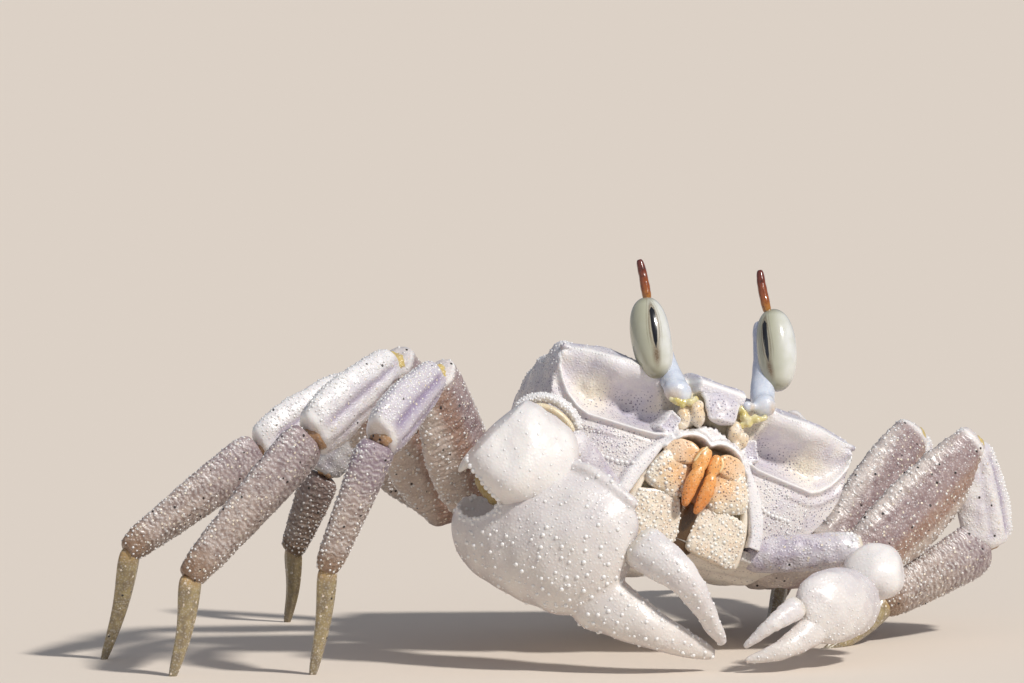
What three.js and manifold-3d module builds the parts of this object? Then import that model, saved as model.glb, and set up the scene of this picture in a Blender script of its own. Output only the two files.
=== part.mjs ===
// Ghost crab, adult male, life size. Millimetres, +Z up, the crab faces -Y.
// Trunk pieces are drawn in the crab's own axes (x to its left, y to its rear,
// z to its back) and then set in the tilted stance. Limbs are drawn in the room.
import * as THREE from "three";
import { mergeVertices } from "three/addons/utils/BufferGeometryUtils.js";
import Module from "manifold-3d";

const wasm = await Module();
wasm.setup();

// ---- driving sizes -------------------------------------------------------
const GAP = 0.3;
const FINEST_DETAIL = 0.1;
const TIP_HALF_SPAN = 20;
const TRUNK_LENGTH = 33.5;
const FRONT_Y = -2;
const FACE_BULGE = 3.8;
const DORSAL_RISE = 1.3;
const BELLY_DEPTH = 20.5;
const SUTURE_FRONT = -17.6;
const SUTURE_REAR = -8.5;
const MOUTH_TOP = -7.6;
const MOUTH_HALF_TOP = 4.8;
const MOUTH_HALF_BOTTOM = 9.0;
const ORBIT_CENTRE = [12.5, -2.2, -3.85];
const ORBIT_RADII = [7.9, 4.4, 3.8];

// ---- stance --------------------------------------------------------------
const PITCH_UP = 11.8;
const ROLL_LEFT = 20.8;
const EYE_LINE_HEIGHT = 31.15;

// ---- colours -------------------------------------------------------------
const SHELL = { color: 0xdcd6d2, roughness: 0.5 };
const BELLY = { color: 0xe9dfcf, roughness: 0.5 };
const STALK = { color: 0xc6d0d6, roughness: 0.4 };
const CORNEA = { color: 0xb9bda6, roughness: 0.15 };
const HORN = { color: 0x7d3f22, roughness: 0.25 };
const MOUTH = { color: 0xe7b27c, roughness: 0.45 };
const PALP = { color: 0xdd8a33, roughness: 0.4 };
const FEELER = { color: 0xe8ddca, roughness: 0.5 };
const CLAW = { color: 0xe6e1dc, roughness: 0.45 };
const LEG = { color: 0xb8a79d, roughness: 0.55 };
const TOE = { color: 0x8c7f57, roughness: 0.5 };

const vector = (p) => new THREE.Vector3(...p);
const mix = THREE.MathUtils.lerp;
const smooth = (v, a, b) => THREE.MathUtils.smoothstep(v, a, b);

const stance = new THREE.Matrix4();
stance.makeRotationFromEuler(new THREE.Euler(
  THREE.MathUtils.degToRad(-PITCH_UP),
  THREE.MathUtils.degToRad(ROLL_LEFT),
  0,
  "XYZ",
));
stance.setPosition(0, 0, EYE_LINE_HEIGHT);

const group = new THREE.Group();

const byVolume = (p, q) => q.volume() - p.volume();
const largest = (solid) => solid.decompose().sort(byVolume)[0];

// A piece is its largest body, so that a cut leaves no splinter beside it.
function addPiece(name, solid, look) {
  const mesh = largest(solid.simplify(FINEST_DETAIL)).getMesh();
  const geometry = new THREE.BufferGeometry();
  geometry.setAttribute("position", new THREE.BufferAttribute(mesh.vertProperties, 3));
  geometry.setIndex(new THREE.BufferAttribute(mesh.triVerts, 1));
  const piece = new THREE.Mesh(geometry, new THREE.MeshStandardMaterial({ metalness: 0, ...look }));
  piece.name = name;
  group.add(piece);
}

function solidOf(geometry) {
  geometry.deleteAttribute("normal");
  geometry.deleteAttribute("uv");
  const welded = mergeVertices(geometry, 1e-4);
  return new wasm.Manifold(new wasm.Mesh({
    numProp: 3,
    vertProperties: welded.attributes.position.array,
    triVerts: welded.index.array,
  }));
}

function reshape(geometry, move) {
  const place = geometry.attributes.position;
  const point = new THREE.Vector3();
  for (let i = 0; i < place.count; i += 1) {
    point.fromBufferAttribute(place, i);
    move(point);
    place.setXYZ(i, point.x, point.y, point.z);
  }
  return geometry;
}

const inStance = (geometry) => solidOf(geometry.applyMatrix4(stance));
const bodyPoint = (p) => vector(p).applyMatrix4(stance);
const mirrored = (p, side) => [p[0] * side, p[1], p[2]];

// ---- a limb: a closed, flattened tube with rounded ends along a curve -----
function limb({ path, across, wide, thick, sides = 8, rings = 7, round = 5 }, grow = 0) {
  const curve = new THREE.CatmullRomCurve3(path.map((p) => p.clone()), false, "centripetal");
  const geometry = new THREE.SphereGeometry(1, sides, rings);
  reshape(geometry, (p) => {
    const t = THREE.MathUtils.clamp((1 - p.y) / 2, 0, 1);
    const radial = Math.hypot(p.x, p.z);
    const dome = Math.max(0, 1 - Math.abs(2 * t - 1) ** round) ** (1 / round);
    const fullness = radial < 1e-6 ? 0 : dome / radial;
    const along = curve.getTangent(t);
    const broad = across.clone().addScaledVector(along, -across.dot(along)).normalize();
    const thin = new THREE.Vector3().crossVectors(along, broad);
    const centre = curve.getPoint(t);
    centre.addScaledVector(broad, p.x * fullness * (wide(t) + grow));
    centre.addScaledVector(thin, p.z * fullness * (thick(t) + grow));
    centre.addScaledVector(along, -p.y * grow);
    p.copy(centre);
  });
  return solidOf(geometry);
}

// ---- trunk ---------------------------------------------------------------
function trunk(grow) {
  const geometry = new THREE.BoxGeometry(2, 2, 2, 10, 8, 6);
  reshape(geometry, (q) => {
    const norm = (Math.abs(q.x) ** 6 + Math.abs(q.y) ** 6 + Math.abs(q.z) ** 6) ** (1 / 6);
    const n = q.clone().divideScalar(norm);
    const s = (n.y + 1) / 2;
    const top = mix(1.2, -2.2, s ** 3) + DORSAL_RISE * Math.sin(Math.PI * s ** 0.8) ** 1.5;
    const bottom = -BELLY_DEPTH + 8.5 * smooth(s, 0.3, 1.05) + 1.2 * (1 - smooth(s, 0, 0.2));
    const z = (top + bottom) / 2 + n.z * (top - bottom) / 2;
    const half = TIP_HALF_SPAN - 0.2 - 7.6 * Math.max(0, s - 0.15) ** 1.6;
    const tuck = 1 - 0.36 * smooth(-z, 6, 21);
    const x = n.x * half * tuck;
    const bulge = FACE_BULGE * (1 - s) ** 3 * Math.max(0, 1 - (x / 16) ** 2);
    q.set(x, FRONT_Y + TRUNK_LENGTH * s - bulge, z);
    q.add(n.multiplyScalar(grow));
  });
  return geometry;
}

function ellipsoid(centre, radii, tilt = 0) {
  const ball = new THREE.SphereGeometry(1, 12, 8);
  ball.scale(...radii);
  ball.rotateZ(tilt);
  ball.translate(...centre);
  return ball;
}

// A wedge of space above or below the seam that runs along the flanks.
function sutureHalf(upper) {
  const shift = upper ? GAP / 2 : -GAP / 2;
  const far = upper ? 60 : -60;
  const outline = new THREE.Shape();
  outline.moveTo(-30, SUTURE_FRONT + shift);
  outline.lineTo(FRONT_Y, SUTURE_FRONT + shift);
  outline.lineTo(60, mix(SUTURE_FRONT, SUTURE_REAR, 62 / TRUNK_LENGTH) + shift);
  outline.lineTo(60, far);
  outline.lineTo(-30, far);
  const block = new THREE.ExtrudeGeometry(outline, { depth: 80, bevelEnabled: false });
  block.rotateX(Math.PI / 2);
  block.rotateZ(Math.PI / 2);
  block.translate(-40, 0, 0);
  return block;
}

function mouthFrame() {
  const outline = new THREE.Shape();
  outline.moveTo(-MOUTH_HALF_TOP + 1.2, MOUTH_TOP);
  outline.lineTo(MOUTH_HALF_TOP - 1.2, MOUTH_TOP);
  outline.lineTo(MOUTH_HALF_TOP, MOUTH_TOP - 1.4);
  outline.lineTo(MOUTH_HALF_BOTTOM, -15);
  outline.lineTo(MOUTH_HALF_BOTTOM - 1.5, -24);
  outline.lineTo(-MOUTH_HALF_BOTTOM + 1.5, -24);
  outline.lineTo(-MOUTH_HALF_BOTTOM, -15);
  outline.lineTo(-MOUTH_HALF_TOP, MOUTH_TOP - 1.4);
  const block = new THREE.ExtrudeGeometry(outline, { depth: 12, bevelEnabled: false });
  block.rotateX(Math.PI / 2);
  block.translate(0, -3.2, 0);
  return block;
}

const abdomenShape = {
  path: [[0, 32.1, -7], [0, 28.7, -14.3], [0, 19.5, -19.6], [0, 8, -21.3]].map(bodyPoint),
  across: new THREE.Vector3(1, 0, 0).transformDirection(stance),
  wide: (t) => mix(8.5, 2.4, smooth(t, 0.1, 0.7)),
  thick: () => 1.0,
  sides: 10,
  rings: 9,
};
const ABDOMEN = limb(abdomenShape);

const bulk = inStance(trunk(0));
const trunkRoom = inStance(trunk(GAP));

function carapace() {
  let shell = bulk;
  for (const side of [-1, 1]) {
    const tooth = limb({
      path: [[15.5, 3.0, -0.6], [20.0, -0.3, -0.1]].map((p) => bodyPoint(mirrored(p, side))),
      across: bodyPoint([0, 1, 0]).sub(bodyPoint([0, 0, 0])),
      wide: (t) => mix(3.2, 0.8, t),
      thick: (t) => mix(1.5, 0.6, t),
      sides: 8,
      rings: 5,
    });
    shell = shell.add(tooth);
  }
  const lobe = new THREE.BoxGeometry(4.7, 3.2, 4.4, 2, 1, 2);
  reshape(lobe, (p) => {
    p.x *= 1 - 0.12 * smooth(-p.z, 0, 2.2) * Math.abs(p.x / 2.35);
    p.y -= 0.32 * (2.2 - p.z) - 0.2 * Math.abs(p.x);
  });
  lobe.translate(0, -4.5, -1.7);
  shell = shell.add(inStance(lobe));
  for (const side of [-1, 1]) {
    shell = shell.subtract(inStance(ellipsoid(mirrored(ORBIT_CENTRE, side), ORBIT_RADII, side * 0.1)));
    const pit = ellipsoid([side * 3.5, -6.6, -4.0], [1.9, 3.2, 2.6]);
    shell = shell.subtract(inStance(pit));
  }
  shell = shell.subtract(inStance(mouthFrame())).subtract(limb(abdomenShape, GAP));
  return shell.intersect(inStance(sutureHalf(true))).simplify(2 * FINEST_DETAIL);
}

const sternumBlock = bulk.intersect(inStance(sutureHalf(false)));
const sternum = sternumBlock.subtract(inStance(mouthFrame())).subtract(limb(abdomenShape, GAP));
addPiece("sternum", sternum, BELLY);
addPiece("abdomen", ABDOMEN, BELLY);

// ---- eyes ----------------------------------------------------------------
// Each eye: foot of the stalk, middle and crown of the cornea, root and tip of the horn.
const EYES = {
  right: {
    foot: [-4.9, -4.8, -2.2],
    middle: [-9.6, -2.4, 4.0],
    crown: [-11.5, -1.5, 8.5],
    root: [-11.4, -1.1, 9.2],
    tip: [-13.3, -0.5, 13.2],
  },
  left: {
    foot: [5.7, -4.8, -0.6],
    middle: [6.0, -2.4, 7.7],
    crown: [4.6, -1.7, 12.3],
    root: [3.8, -1.2, 12.9],
    tip: [2.0, -0.5, 17.0],
  },
};
const STALK_SIDE = 1.7;

function eye(sideName, side) {
  const spots = EYES[sideName];
  const middle = bodyPoint(spots.middle);
  const axis = bodyPoint(spots.crown).sub(middle).normalize();
  const inward = new THREE.Vector3(-side, 0.5, 0);
  inward.addScaledVector(axis, -inward.dot(axis)).normalize();
  const spine = middle.clone().addScaledVector(inward, STALK_SIDE);
  const low = spine.clone().addScaledVector(axis, -3.8);
  const root = bodyPoint(spots.root);
  const foot = bodyPoint(spots.foot);
  const stalkShape = {
    path: [foot, low, spine, root],
    across: inward,
    wide: (t) => mix(1.5, 1.0, smooth(t, 0.3, 1)),
    thick: (t) => mix(1.5, 1.1, smooth(t, 0.3, 1)),
    rings: 7,
  };
  const stalk = limb(stalkShape);
  const corneaShape = {
    path: [middle.clone().addScaledVector(axis, -5.1), middle.clone().addScaledVector(axis, 5.1)],
    across: inward,
    wide: () => 2.5,
    thick: () => 2.5,
    sides: 10,
    rings: 8,
    round: 2.2,
  };
  const cornea = limb(corneaShape).subtract(limb(stalkShape, GAP));
  const tip = bodyPoint(spots.tip);
  const rise = tip.clone().sub(root).normalize();
  const horn = limb({
    path: [root.clone().addScaledVector(rise, -0.4), tip],
    across: inward,
    wide: (t) => mix(0.72, 0.45, t),
    thick: (t) => mix(0.72, 0.45, t),
    sides: 8,
    rings: 5,
  });
  addPiece(`eye_stalk_${sideName}`, stalk, STALK);
  addPiece(`eye_${sideName}`, cornea, CORNEA);
  addPiece(`eye_horn_${sideName}`, horn.subtract(limb(stalkShape, GAP)), HORN);
  return limb(stalkShape, GAP).add(limb(corneaShape, GAP));
}

// ---- mouth parts and feelers ----------------------------------------------
function headParts(sideName, side) {
  const at = (p) => bodyPoint(mirrored(p, side));
  const leftward = new THREE.Vector3(1, 0, 0).transformDirection(stance);
  const lowerPlate = {
    path: [at([4.4, -5.0, -14.5]), at([4.2, -4.2, -20.2])],
    across: leftward,
    wide: (t) => mix(3.2, 2.9, t),
    thick: () => 1.3,
    round: 8,
  };
  const upperPlate = {
    path: [at([3.7, -5.2, -9.0]), at([4.2, -5.3, -14.1])],
    across: leftward,
    wide: (t) => mix(2.3, 3.1, smooth(t, 0, 0.7)),
    thick: () => 1.4,
    round: 6,
  };
  const palp = limb({
    path: [at([2.6, -7.7, -8.9]), at([1.1, -8.2, -9.8]), at([0.72, -7.9, -12]), at([0.66, -7.3, -15.6])],
    across: leftward,
    wide: (t) => mix(0.62, 0.45, t),
    thick: (t) => mix(0.85, 0.6, t),
    sides: 8,
    rings: 8,
  });
  addPiece(`mouth_plate_lower_${sideName}`, limb(lowerPlate), MOUTH);
  addPiece(`mouth_plate_upper_${sideName}`, limb(upperPlate), MOUTH);
  addPiece(`palp_${sideName}`, palp, PALP);
  const feeler = limb({
    path: [at([3.1, -4.4, -3.6]), at([3.3, -6.0, -5.3])],
    across: leftward,
    wide: () => 1.1,
    thick: () => 0.9,
    sides: 8,
    rings: 5,
  });
  const eyeRoom = eye(sideName, side);
  addPiece(`feelers_${sideName}`, feeler.subtract(eyeRoom), FEELER);
  return eyeRoom.add(limb(lowerPlate, GAP)).add(limb(upperPlate, GAP));
}

const rightRoom = headParts("right", -1);
const leftRoom = headParts("left", 1);
addPiece("carapace", carapace().subtract(rightRoom).subtract(leftRoom), SHELL);

// ---- claws -----------------------------------------------------------------
// The outer face of each hand looks forward and a little to the crab's right.
const HAND_FACE = new THREE.Vector3(-0.35, -0.92, 0.12).normalize();
const CLAWS = {
  right: {
    size: 1,
    hip: [-9, -3, -18.2],
    elbow: [-22.4, -5.7, 27.7],
    wrist: [[-25.2, -9.3, 31.1], [-32.6, -12.7, 20.7]],
    palm: [[-34.5, -4.5, 17.8], [-25.7, -14.4, 16.3], [-18.4, -20.6, 13.1]],
    thumb: [[-23.0, -17.6, 9.8], [-16.0, -22.4, 5.6], [-7.7, -21.9, 1.9]],
    finger: [[-17.6, -21.0, 16.2], [-12.7, -25.3, 11.6], [-6.9, -23.1, 3.4]],
  },
  left: {
    size: 0.52,
    hip: [9, -3, -18.2],
    elbow: [16.3, -10.5, 12.9],
    wrist: [[16.7, -12.8, 13.2], [15.3, -17.2, 7.6]],
    palm: [[15.0, -17.6, 7.4], [8.6, -22.4, 7.6], [2.6, -24.7, 6.6]],
    thumb: [[5.6, -24.2, 5.6], [-0.3, -26.2, 2.9], [-5.0, -25.4, 1.5]],
    finger: [[2.4, -24.9, 8.0], [-1.8, -26.7, 6.1], [-5.2, -25.6, 3.2]],
  },
};

function claw(sideName) {
  const spots = CLAWS[sideName];
  const size = spots.size;
  const elbow = vector(spots.elbow);
  const points = (list) => list.map(vector);
  const acrossHand = (list) => {
    const run = vector(list[list.length - 1]).sub(vector(list[0]));
    return new THREE.Vector3().crossVectors(HAND_FACE, run).normalize();
  };
  const armShape = {
    path: [bodyPoint(spots.hip), elbow],
    across: new THREE.Vector3().crossVectors(HAND_FACE, elbow).normalize(),
    wide: (t) => mix(3.2, 3.4, t) * mix(size, 1, 0.35),
    thick: (t) => mix(2.6, 3.0, t) * mix(size, 1, 0.35),
    rings: 5,
    round: 4,
  };
  const carpusShape = {
    path: points(spots.wrist),
    across: acrossHand(spots.wrist),
    wide: () => 7.3 * size,
    thick: () => 5.2 * size,
    sides: 12,
    rings: 8,
    round: 2.4,
  };
  const palmShape = {
    path: points(spots.palm),
    across: acrossHand(spots.palm),
    wide: (t) => size * (5.2 + 3.6 * Math.sin(Math.PI * Math.min(1, t * 0.8)) ** 0.8),
    thick: (t) => size * (3.4 + 1.6 * Math.sin(Math.PI * t)),
    sides: 12,
    rings: 8,
    round: 3.4,
  };
  const thumbShape = {
    path: points(spots.thumb),
    across: acrossHand(spots.thumb),
    wide: (t) => size * mix(4.6, 0.9, t ** 0.8),
    thick: (t) => size * mix(3.0, 0.8, t),
  };
  const fingerShape = {
    path: points(spots.finger),
    across: acrossHand(spots.finger),
    wide: (t) => size * mix(3.4, 0.8, t ** 0.9),
    thick: (t) => size * mix(2.6, 0.8, t),
  };
  const hand = limb(palmShape).add(limb(thumbShape)).subtract(limb(carpusShape, GAP));
  const handRoom = limb(palmShape, GAP).add(limb(thumbShape, GAP));
  addPiece(`claw_arm_${sideName}`, limb(armShape).subtract(trunkRoom), LEG);
  addPiece(`claw_wrist_${sideName}`, limb(carpusShape).subtract(limb(armShape, GAP)), CLAW);
  addPiece(`claw_hand_${sideName}`, hand, CLAW);
  addPiece(`claw_finger_${sideName}`, limb(fingerShape).subtract(handRoom), CLAW);
}

for (const sideName of ["right", "left"]) {
  claw(sideName);
}

// ---- walking legs ----------------------------------------------------------
// Joints of each leg in the room: base of the thigh, knee, wrist and ankle, and
// where the toe meets the floor. Each toe ends below the floor and is cut flat.
const TOE_OVERRUN = 0.6;
const LEGS = {
  leg2_right: [[-27.5, 4.5, 17.5], [-38, -6.5, 36], [-47.5, -13, 29.5], [-53.5, -10.5, 13.5], [-54.5, -7.5]],
  leg3_right: [[-28, 13.5, 16.5], [-40, 3, 36.5], [-52.5, -3, 29], [-69, -4.5, 12.5], [-71, -3]],
  leg4_right: [[-25.5, 24.5, 17], [-40, 17.5, 32.5], [-52.5, 14.5, 25.5], [-70.5, 12.5, 14], [-72.5, 17]],
  leg5_right: [[-19, 27.5, 19], [-31, 40.5, 26.5], [-34.5, 41, 19.5], [-37.5, 44, 9.5], [-37.5, 46.5]],
  leg2_left: [[17.5, -3, 9.5], [36, 2.5, 23.5], [38.5, 3.5, 11.5], [23.5, -0.5, 5], [13.5, -4]],
  leg3_left: [[18.5, 8, 9], [34.5, 19, 23], [36.5, 20.5, 11], [24, 12, 4], [15.5, 6.5]],
  leg4_left: [[15.5, 18, 9], [25.5, 35.5, 23], [27, 38, 11], [19.5, 25, 4.5], [14.5, 17]],
  leg5_left: [[10, 27, 10], [14.5, 43.5, 18], [16, 47.5, 11.5], [20.5, 55.5, 6], [23, 60]],
};
const HIPS = { 2: [12, 3, -17.2], 3: [13, 9, -16.4], 4: [12.2, 15.5, -14.9], 5: [9.6, 21.5, -12.9] };
const JOINT_REACH = 0.7;
const LEG_SIZE = { 2: 1.06, 3: 1.14, 4: 0.96, 5: 0.74 };

const beyond = (from, to, extra) => to.clone().addScaledVector(to.clone().sub(from).normalize(), extra);

function walkingLeg(name, joints) {
  const number = Number(name[3]);
  const side = name.endsWith("left") ? 1 : -1;
  const size = LEG_SIZE[number];
  const hip = bodyPoint(mirrored(HIPS[number], side));
  const [base, knee, wrist, ankle] = joints.slice(0, 4).map(vector);
  const toe = vector([...joints[4], -TOE_OVERRUN]);
  const thigh = knee.clone().sub(base);
  const fold = new THREE.Vector3().crossVectors(thigh, ankle.clone().sub(knee)).normalize();
  const upright = (from, to) => new THREE.Vector3().crossVectors(fold, to.clone().sub(from)).normalize();
  const sag = upright(base, knee).multiplyScalar(0.8 * size);
  const ischium = limb({
    path: [hip, base.clone().addScaledVector(thigh, 0.1)],
    across: fold,
    wide: () => 3.0 * size,
    thick: () => 3.2 * size,
    rings: 4,
    round: 4,
  });
  const merusShape = {
    path: [base, base.clone().lerp(knee, 0.5).add(sag), beyond(base, knee, JOINT_REACH)],
    across: upright(base, knee),
    wide: (t) => size * (2.9 + 1.5 * Math.sin(Math.PI * Math.min(1, t * 1.02)) ** 1.2),
    thick: (t) => size * (2.1 + 0.5 * Math.sin(Math.PI * t)),
  };
  const carpusShape = {
    path: [beyond(wrist, knee, -0.2), beyond(knee, wrist, JOINT_REACH)],
    across: upright(knee, wrist),
    wide: (t) => size * mix(2.5, 3.5, smooth(t, 0, 0.8)),
    thick: (t) => size * mix(2.1, 2.5, t),
  };
  const propodusShape = {
    path: [wrist, beyond(wrist, ankle, JOINT_REACH)],
    across: upright(wrist, ankle),
    wide: (t) => size * (2.7 + 0.4 * Math.sin(Math.PI * t ** 0.7) - 0.8 * t),
    thick: (t) => size * mix(2.0, 1.45, t),
  };
  const bow = ankle.clone().lerp(toe, 0.5).addScaledVector(upright(ankle, toe), side * -0.6 * size);
  const dactylShape = {
    path: [ankle, bow, toe],
    across: upright(ankle, toe),
    wide: (t) => size * mix(1.75, 0.55, t ** 0.9),
    thick: (t) => size * mix(1.25, 0.5, t),
    rings: 5,
  };
  const floorFree = (solid) => solid.trimByPlane([0, 0, 1], 0);
  const merus = ischium.add(limb(merusShape)).subtract(trunkRoom);
  addPiece(`${name}_merus`, merus, LEG);
  addPiece(`${name}_carpus`, limb(carpusShape).subtract(limb(merusShape, GAP)), CLAW);
  addPiece(`${name}_propodus`, limb(propodusShape).subtract(limb(carpusShape, GAP)), LEG);
  addPiece(`${name}_dactyl`, floorFree(limb(dactylShape).subtract(limb(propodusShape, GAP))), TOE);
}

for (const [name, joints] of Object.entries(LEGS)) {
  walkingLeg(name, joints);
}

// Stand the whole crab over the middle of its own footprint.
const bounds = new THREE.Box3().setFromObject(group);
const middle = bounds.getCenter(new THREE.Vector3());
group.position.set(-middle.x, -middle.y, 0);

export default group;
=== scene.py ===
import math
from types import SimpleNamespace

import bmesh
import bpy
import numpy as np
from mathutils import Matrix, Vector


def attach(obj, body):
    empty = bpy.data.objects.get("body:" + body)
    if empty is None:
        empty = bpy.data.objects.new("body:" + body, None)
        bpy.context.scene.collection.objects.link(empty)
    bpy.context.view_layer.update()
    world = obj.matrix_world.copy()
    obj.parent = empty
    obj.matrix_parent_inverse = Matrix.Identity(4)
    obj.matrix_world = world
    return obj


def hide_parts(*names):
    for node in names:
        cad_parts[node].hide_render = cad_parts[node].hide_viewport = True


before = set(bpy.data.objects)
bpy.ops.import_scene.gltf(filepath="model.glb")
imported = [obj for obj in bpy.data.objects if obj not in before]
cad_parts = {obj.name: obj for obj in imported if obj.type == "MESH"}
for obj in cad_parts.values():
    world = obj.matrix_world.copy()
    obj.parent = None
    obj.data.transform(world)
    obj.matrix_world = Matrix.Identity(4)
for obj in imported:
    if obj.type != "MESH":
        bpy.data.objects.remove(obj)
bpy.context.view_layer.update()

# The visible skin of a still, life-size horned ghost crab, over its plain solids.
# Shapes are worked out in millimetres. Trunk pieces are drawn in the crab's own
# axes (x to its left, y to its rear, z to its back) and then set in its tilted
# stance. Limbs are drawn in the room, with the crab facing -Y and the floor at 0.
MM = 0.001
PITCH_UP = 11.8
ROLL_LEFT = 20.8
EYE_LINE_HEIGHT = 31.15
ROOM_SHIFT = np.array([15.608, -16.314, 0.0])

TIP_HALF_SPAN = 20.0
TRUNK_LENGTH = 33.5
FRONT_Y = -2.0
FACE_BULGE = 3.8
FACE_HALF_WIDTH = 16.0
REAR_ROUNDING = 1.8
DORSAL_RISE = 2.0
BELLY_DEPTH = 20.5
SUTURE_FRONT = -17.6
SUTURE_REAR = -8.5
SEAM = 0.15

pitch = Matrix.Rotation(math.radians(-PITCH_UP), 3, "X")
roll = Matrix.Rotation(math.radians(ROLL_LEFT), 3, "Y")
STANCE = np.array(pitch @ roll)
LEFTWARD = STANCE @ np.array([1.0, 0.0, 0.0])
rng = np.random.default_rng(7)


# ---- small helpers -----------------------------------------------------------
def unit(v):
    v = np.asarray(v, dtype=float)
    return v / np.linalg.norm(v)


def smooth(v, low, high):
    k = np.clip((v - low) / (high - low), 0, 1)
    return k * k * (3 - 2 * k)


def mix(low, high, k):
    return low + (high - low) * k


def hump(v, middle, width):
    return np.exp(-(((v - middle) / width) ** 2))


def in_stance(points):
    return np.asarray(points, dtype=float) @ STANCE.T + np.array([0, 0, EYE_LINE_HEIGHT])


def ripple(points, length, seed):
    """A smooth, uneven swell between about -1 and 1, with the given wave length."""
    source = np.random.default_rng(seed)
    total = np.zeros(len(points))
    for _ in range(7):
        way = unit(source.normal(size=3)) * (math.tau / length) * source.uniform(0.6, 1.5)
        total += np.sin(points @ way + source.uniform(0, math.tau))
    return total / 3.2


def course(path, t):
    """Points of a centripetal Catmull-Rom curve at the fractions t of its length."""
    path = [np.asarray(p, dtype=float) for p in path]
    path = [2 * path[0] - path[1]] + path + [2 * path[-1] - path[-2]]
    spans = len(path) - 3
    place = np.clip(t, 0, 1) * spans
    span = np.minimum(place.astype(int), spans - 1)
    out = np.zeros((len(t), 3))
    for i in range(spans):
        before, start, end, after = path[i : i + 4]
        steps = [max(np.linalg.norm(b - a), 1e-4) ** 0.5 for a, b in
                 ((before, start), (start, end), (end, after))]
        first = (start - before) / steps[0] - (end - before) / (steps[0] + steps[1])
        first = (first + (end - start) / steps[1]) * steps[1]
        last = (end - start) / steps[1] - (after - start) / (steps[1] + steps[2])
        last = (last + (after - end) / steps[2]) * steps[1]
        k = (place - i)[span == i][:, None]
        bend = 2 * start - 2 * end + first + last
        turn = -3 * start + 3 * end - 2 * first - last
        out[span == i] = start + first * k + turn * k**2 + bend * k**3
    return out


def along_line(x, z, line):
    """Distance of each (x, z) from a broken line, and how far along it the nearest point is."""
    best = np.full(len(x), 1e9)
    run = np.zeros(len(x))
    done = 0.0
    for (ax, az), (bx, bz) in zip(line, line[1:]):
        length = math.hypot(bx - ax, bz - az)
        k = np.clip(((x - ax) * (bx - ax) + (z - az) * (bz - az)) / length**2, 0, 1)
        away = np.hypot(x - ax - k * (bx - ax), z - az - k * (bz - az))
        closer = away < best
        best = np.where(closer, away, best)
        run = np.where(closer, done + k * length, run)
        done += length
    return best, run


# ---- shapes ------------------------------------------------------------------
# How evenly a limb's rings are spread along it: 0 crowds them in the middle, 1 at the ends.
RING_SPREAD = 0.55
TRIES_PER_GRAIN = 12


class Form:
    """A closed mesh with its points in arrays, so that functions can move and paint them."""

    def __init__(self, bm):
        self.mesh = bpy.data.meshes.new("form")
        bm.to_mesh(self.mesh)
        bm.free()
        count = len(self.mesh.vertices)
        flat = np.empty(count * 3)
        self.mesh.vertices.foreach_get("co", flat)
        self.at = flat.reshape(-1, 3)
        self.paint = np.zeros((count, 4))
        self.dark = np.zeros(count)
        self.t = np.zeros(count)
        self.angle = np.zeros(count)

    def normals(self):
        self.mesh.vertices.foreach_set("co", self.at.ravel())
        self.mesh.update()
        flat = np.empty(len(self.at) * 3)
        self.mesh.vertices.foreach_get("normal", flat)
        return flat.reshape(-1, 3)

    def push(self, amount):
        self.at = self.at + self.normals() * np.asarray(amount)[:, None]
        return self

    def tint(self, warm=0.0, dots=0.0, bright=0.0, shade=0.0, dark=0.0):
        """Paint: warm blush, purple dots, white crests, a lilac tone that is partly painted shade, and dark
        that is mostly painted shade in hollows and under parts.
        """
        for i, amount in enumerate((warm, dots, bright, shade)):
            self.paint[:, i] = np.clip(amount, 0, 1)
        self.dark = np.clip(np.zeros(len(self.at)) + dark, 0, 1)
        return self

    def settled(self):
        self.mesh.vertices.foreach_set("co", self.at.ravel())
        paint = self.mesh.attributes.new("paint", "FLOAT_COLOR", "POINT")
        paint.data.foreach_set("color", self.paint.ravel())
        dark = self.mesh.attributes.new("dark", "FLOAT", "POINT")
        dark.data.foreach_set("value", self.dark)
        return self.mesh


def profile(size, t):
    """A size along a limb: one number, a pair of numbers for an even taper, or a function of t."""
    if callable(size):
        return size(t)
    if isinstance(size, tuple):
        return mix(*size, t)
    return size


def limb(path, across, wide, thick, sides, rings, round_off=5, section=None):
    """A closed, flattened tube with rounded ends along a curve. t runs from 0 to 1 along it,
    angle is 0 on the side that across points to, and wide and thick are half sizes."""
    bm = bmesh.new()
    bmesh.ops.create_uvsphere(bm, u_segments=sides, v_segments=rings, radius=1)
    form = Form(bm)
    q = form.at
    theta = np.arccos(np.clip(q[:, 2], -1, 1)) / math.pi
    t = mix((1 - q[:, 2]) / 2, theta, RING_SPREAD)
    angle = np.arctan2(q[:, 1], q[:, 0])
    centre = course(path, t)
    ahead = course(path, np.minimum(t + 1e-3, 1)) - course(path, np.maximum(t - 1e-3, 0))
    ahead /= np.linalg.norm(ahead, axis=1)[:, None]
    broad = across - ahead * (ahead @ across)[:, None]
    broad /= np.linalg.norm(broad, axis=1)[:, None]
    thin = np.cross(ahead, broad)
    dome = np.maximum(0, 1 - np.abs(2 * t - 1) ** round_off) ** (1 / round_off)
    if section:
        dome = dome * section(angle)
    form.at = (
        centre
        + broad * (np.cos(angle) * dome * profile(wide, t))[:, None]
        + thin * (np.sin(angle) * dome * profile(thick, t))[:, None]
    )
    form.t = t
    form.angle = angle
    outward(form)
    return form


def outward(form):
    """Turn a form's faces outwards when its frame was left-handed."""
    normals = form.normals()
    if ((form.at - form.at.mean(axis=0)) * normals).sum() < 0:
        form.mesh.flip_normals()
    return form


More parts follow.
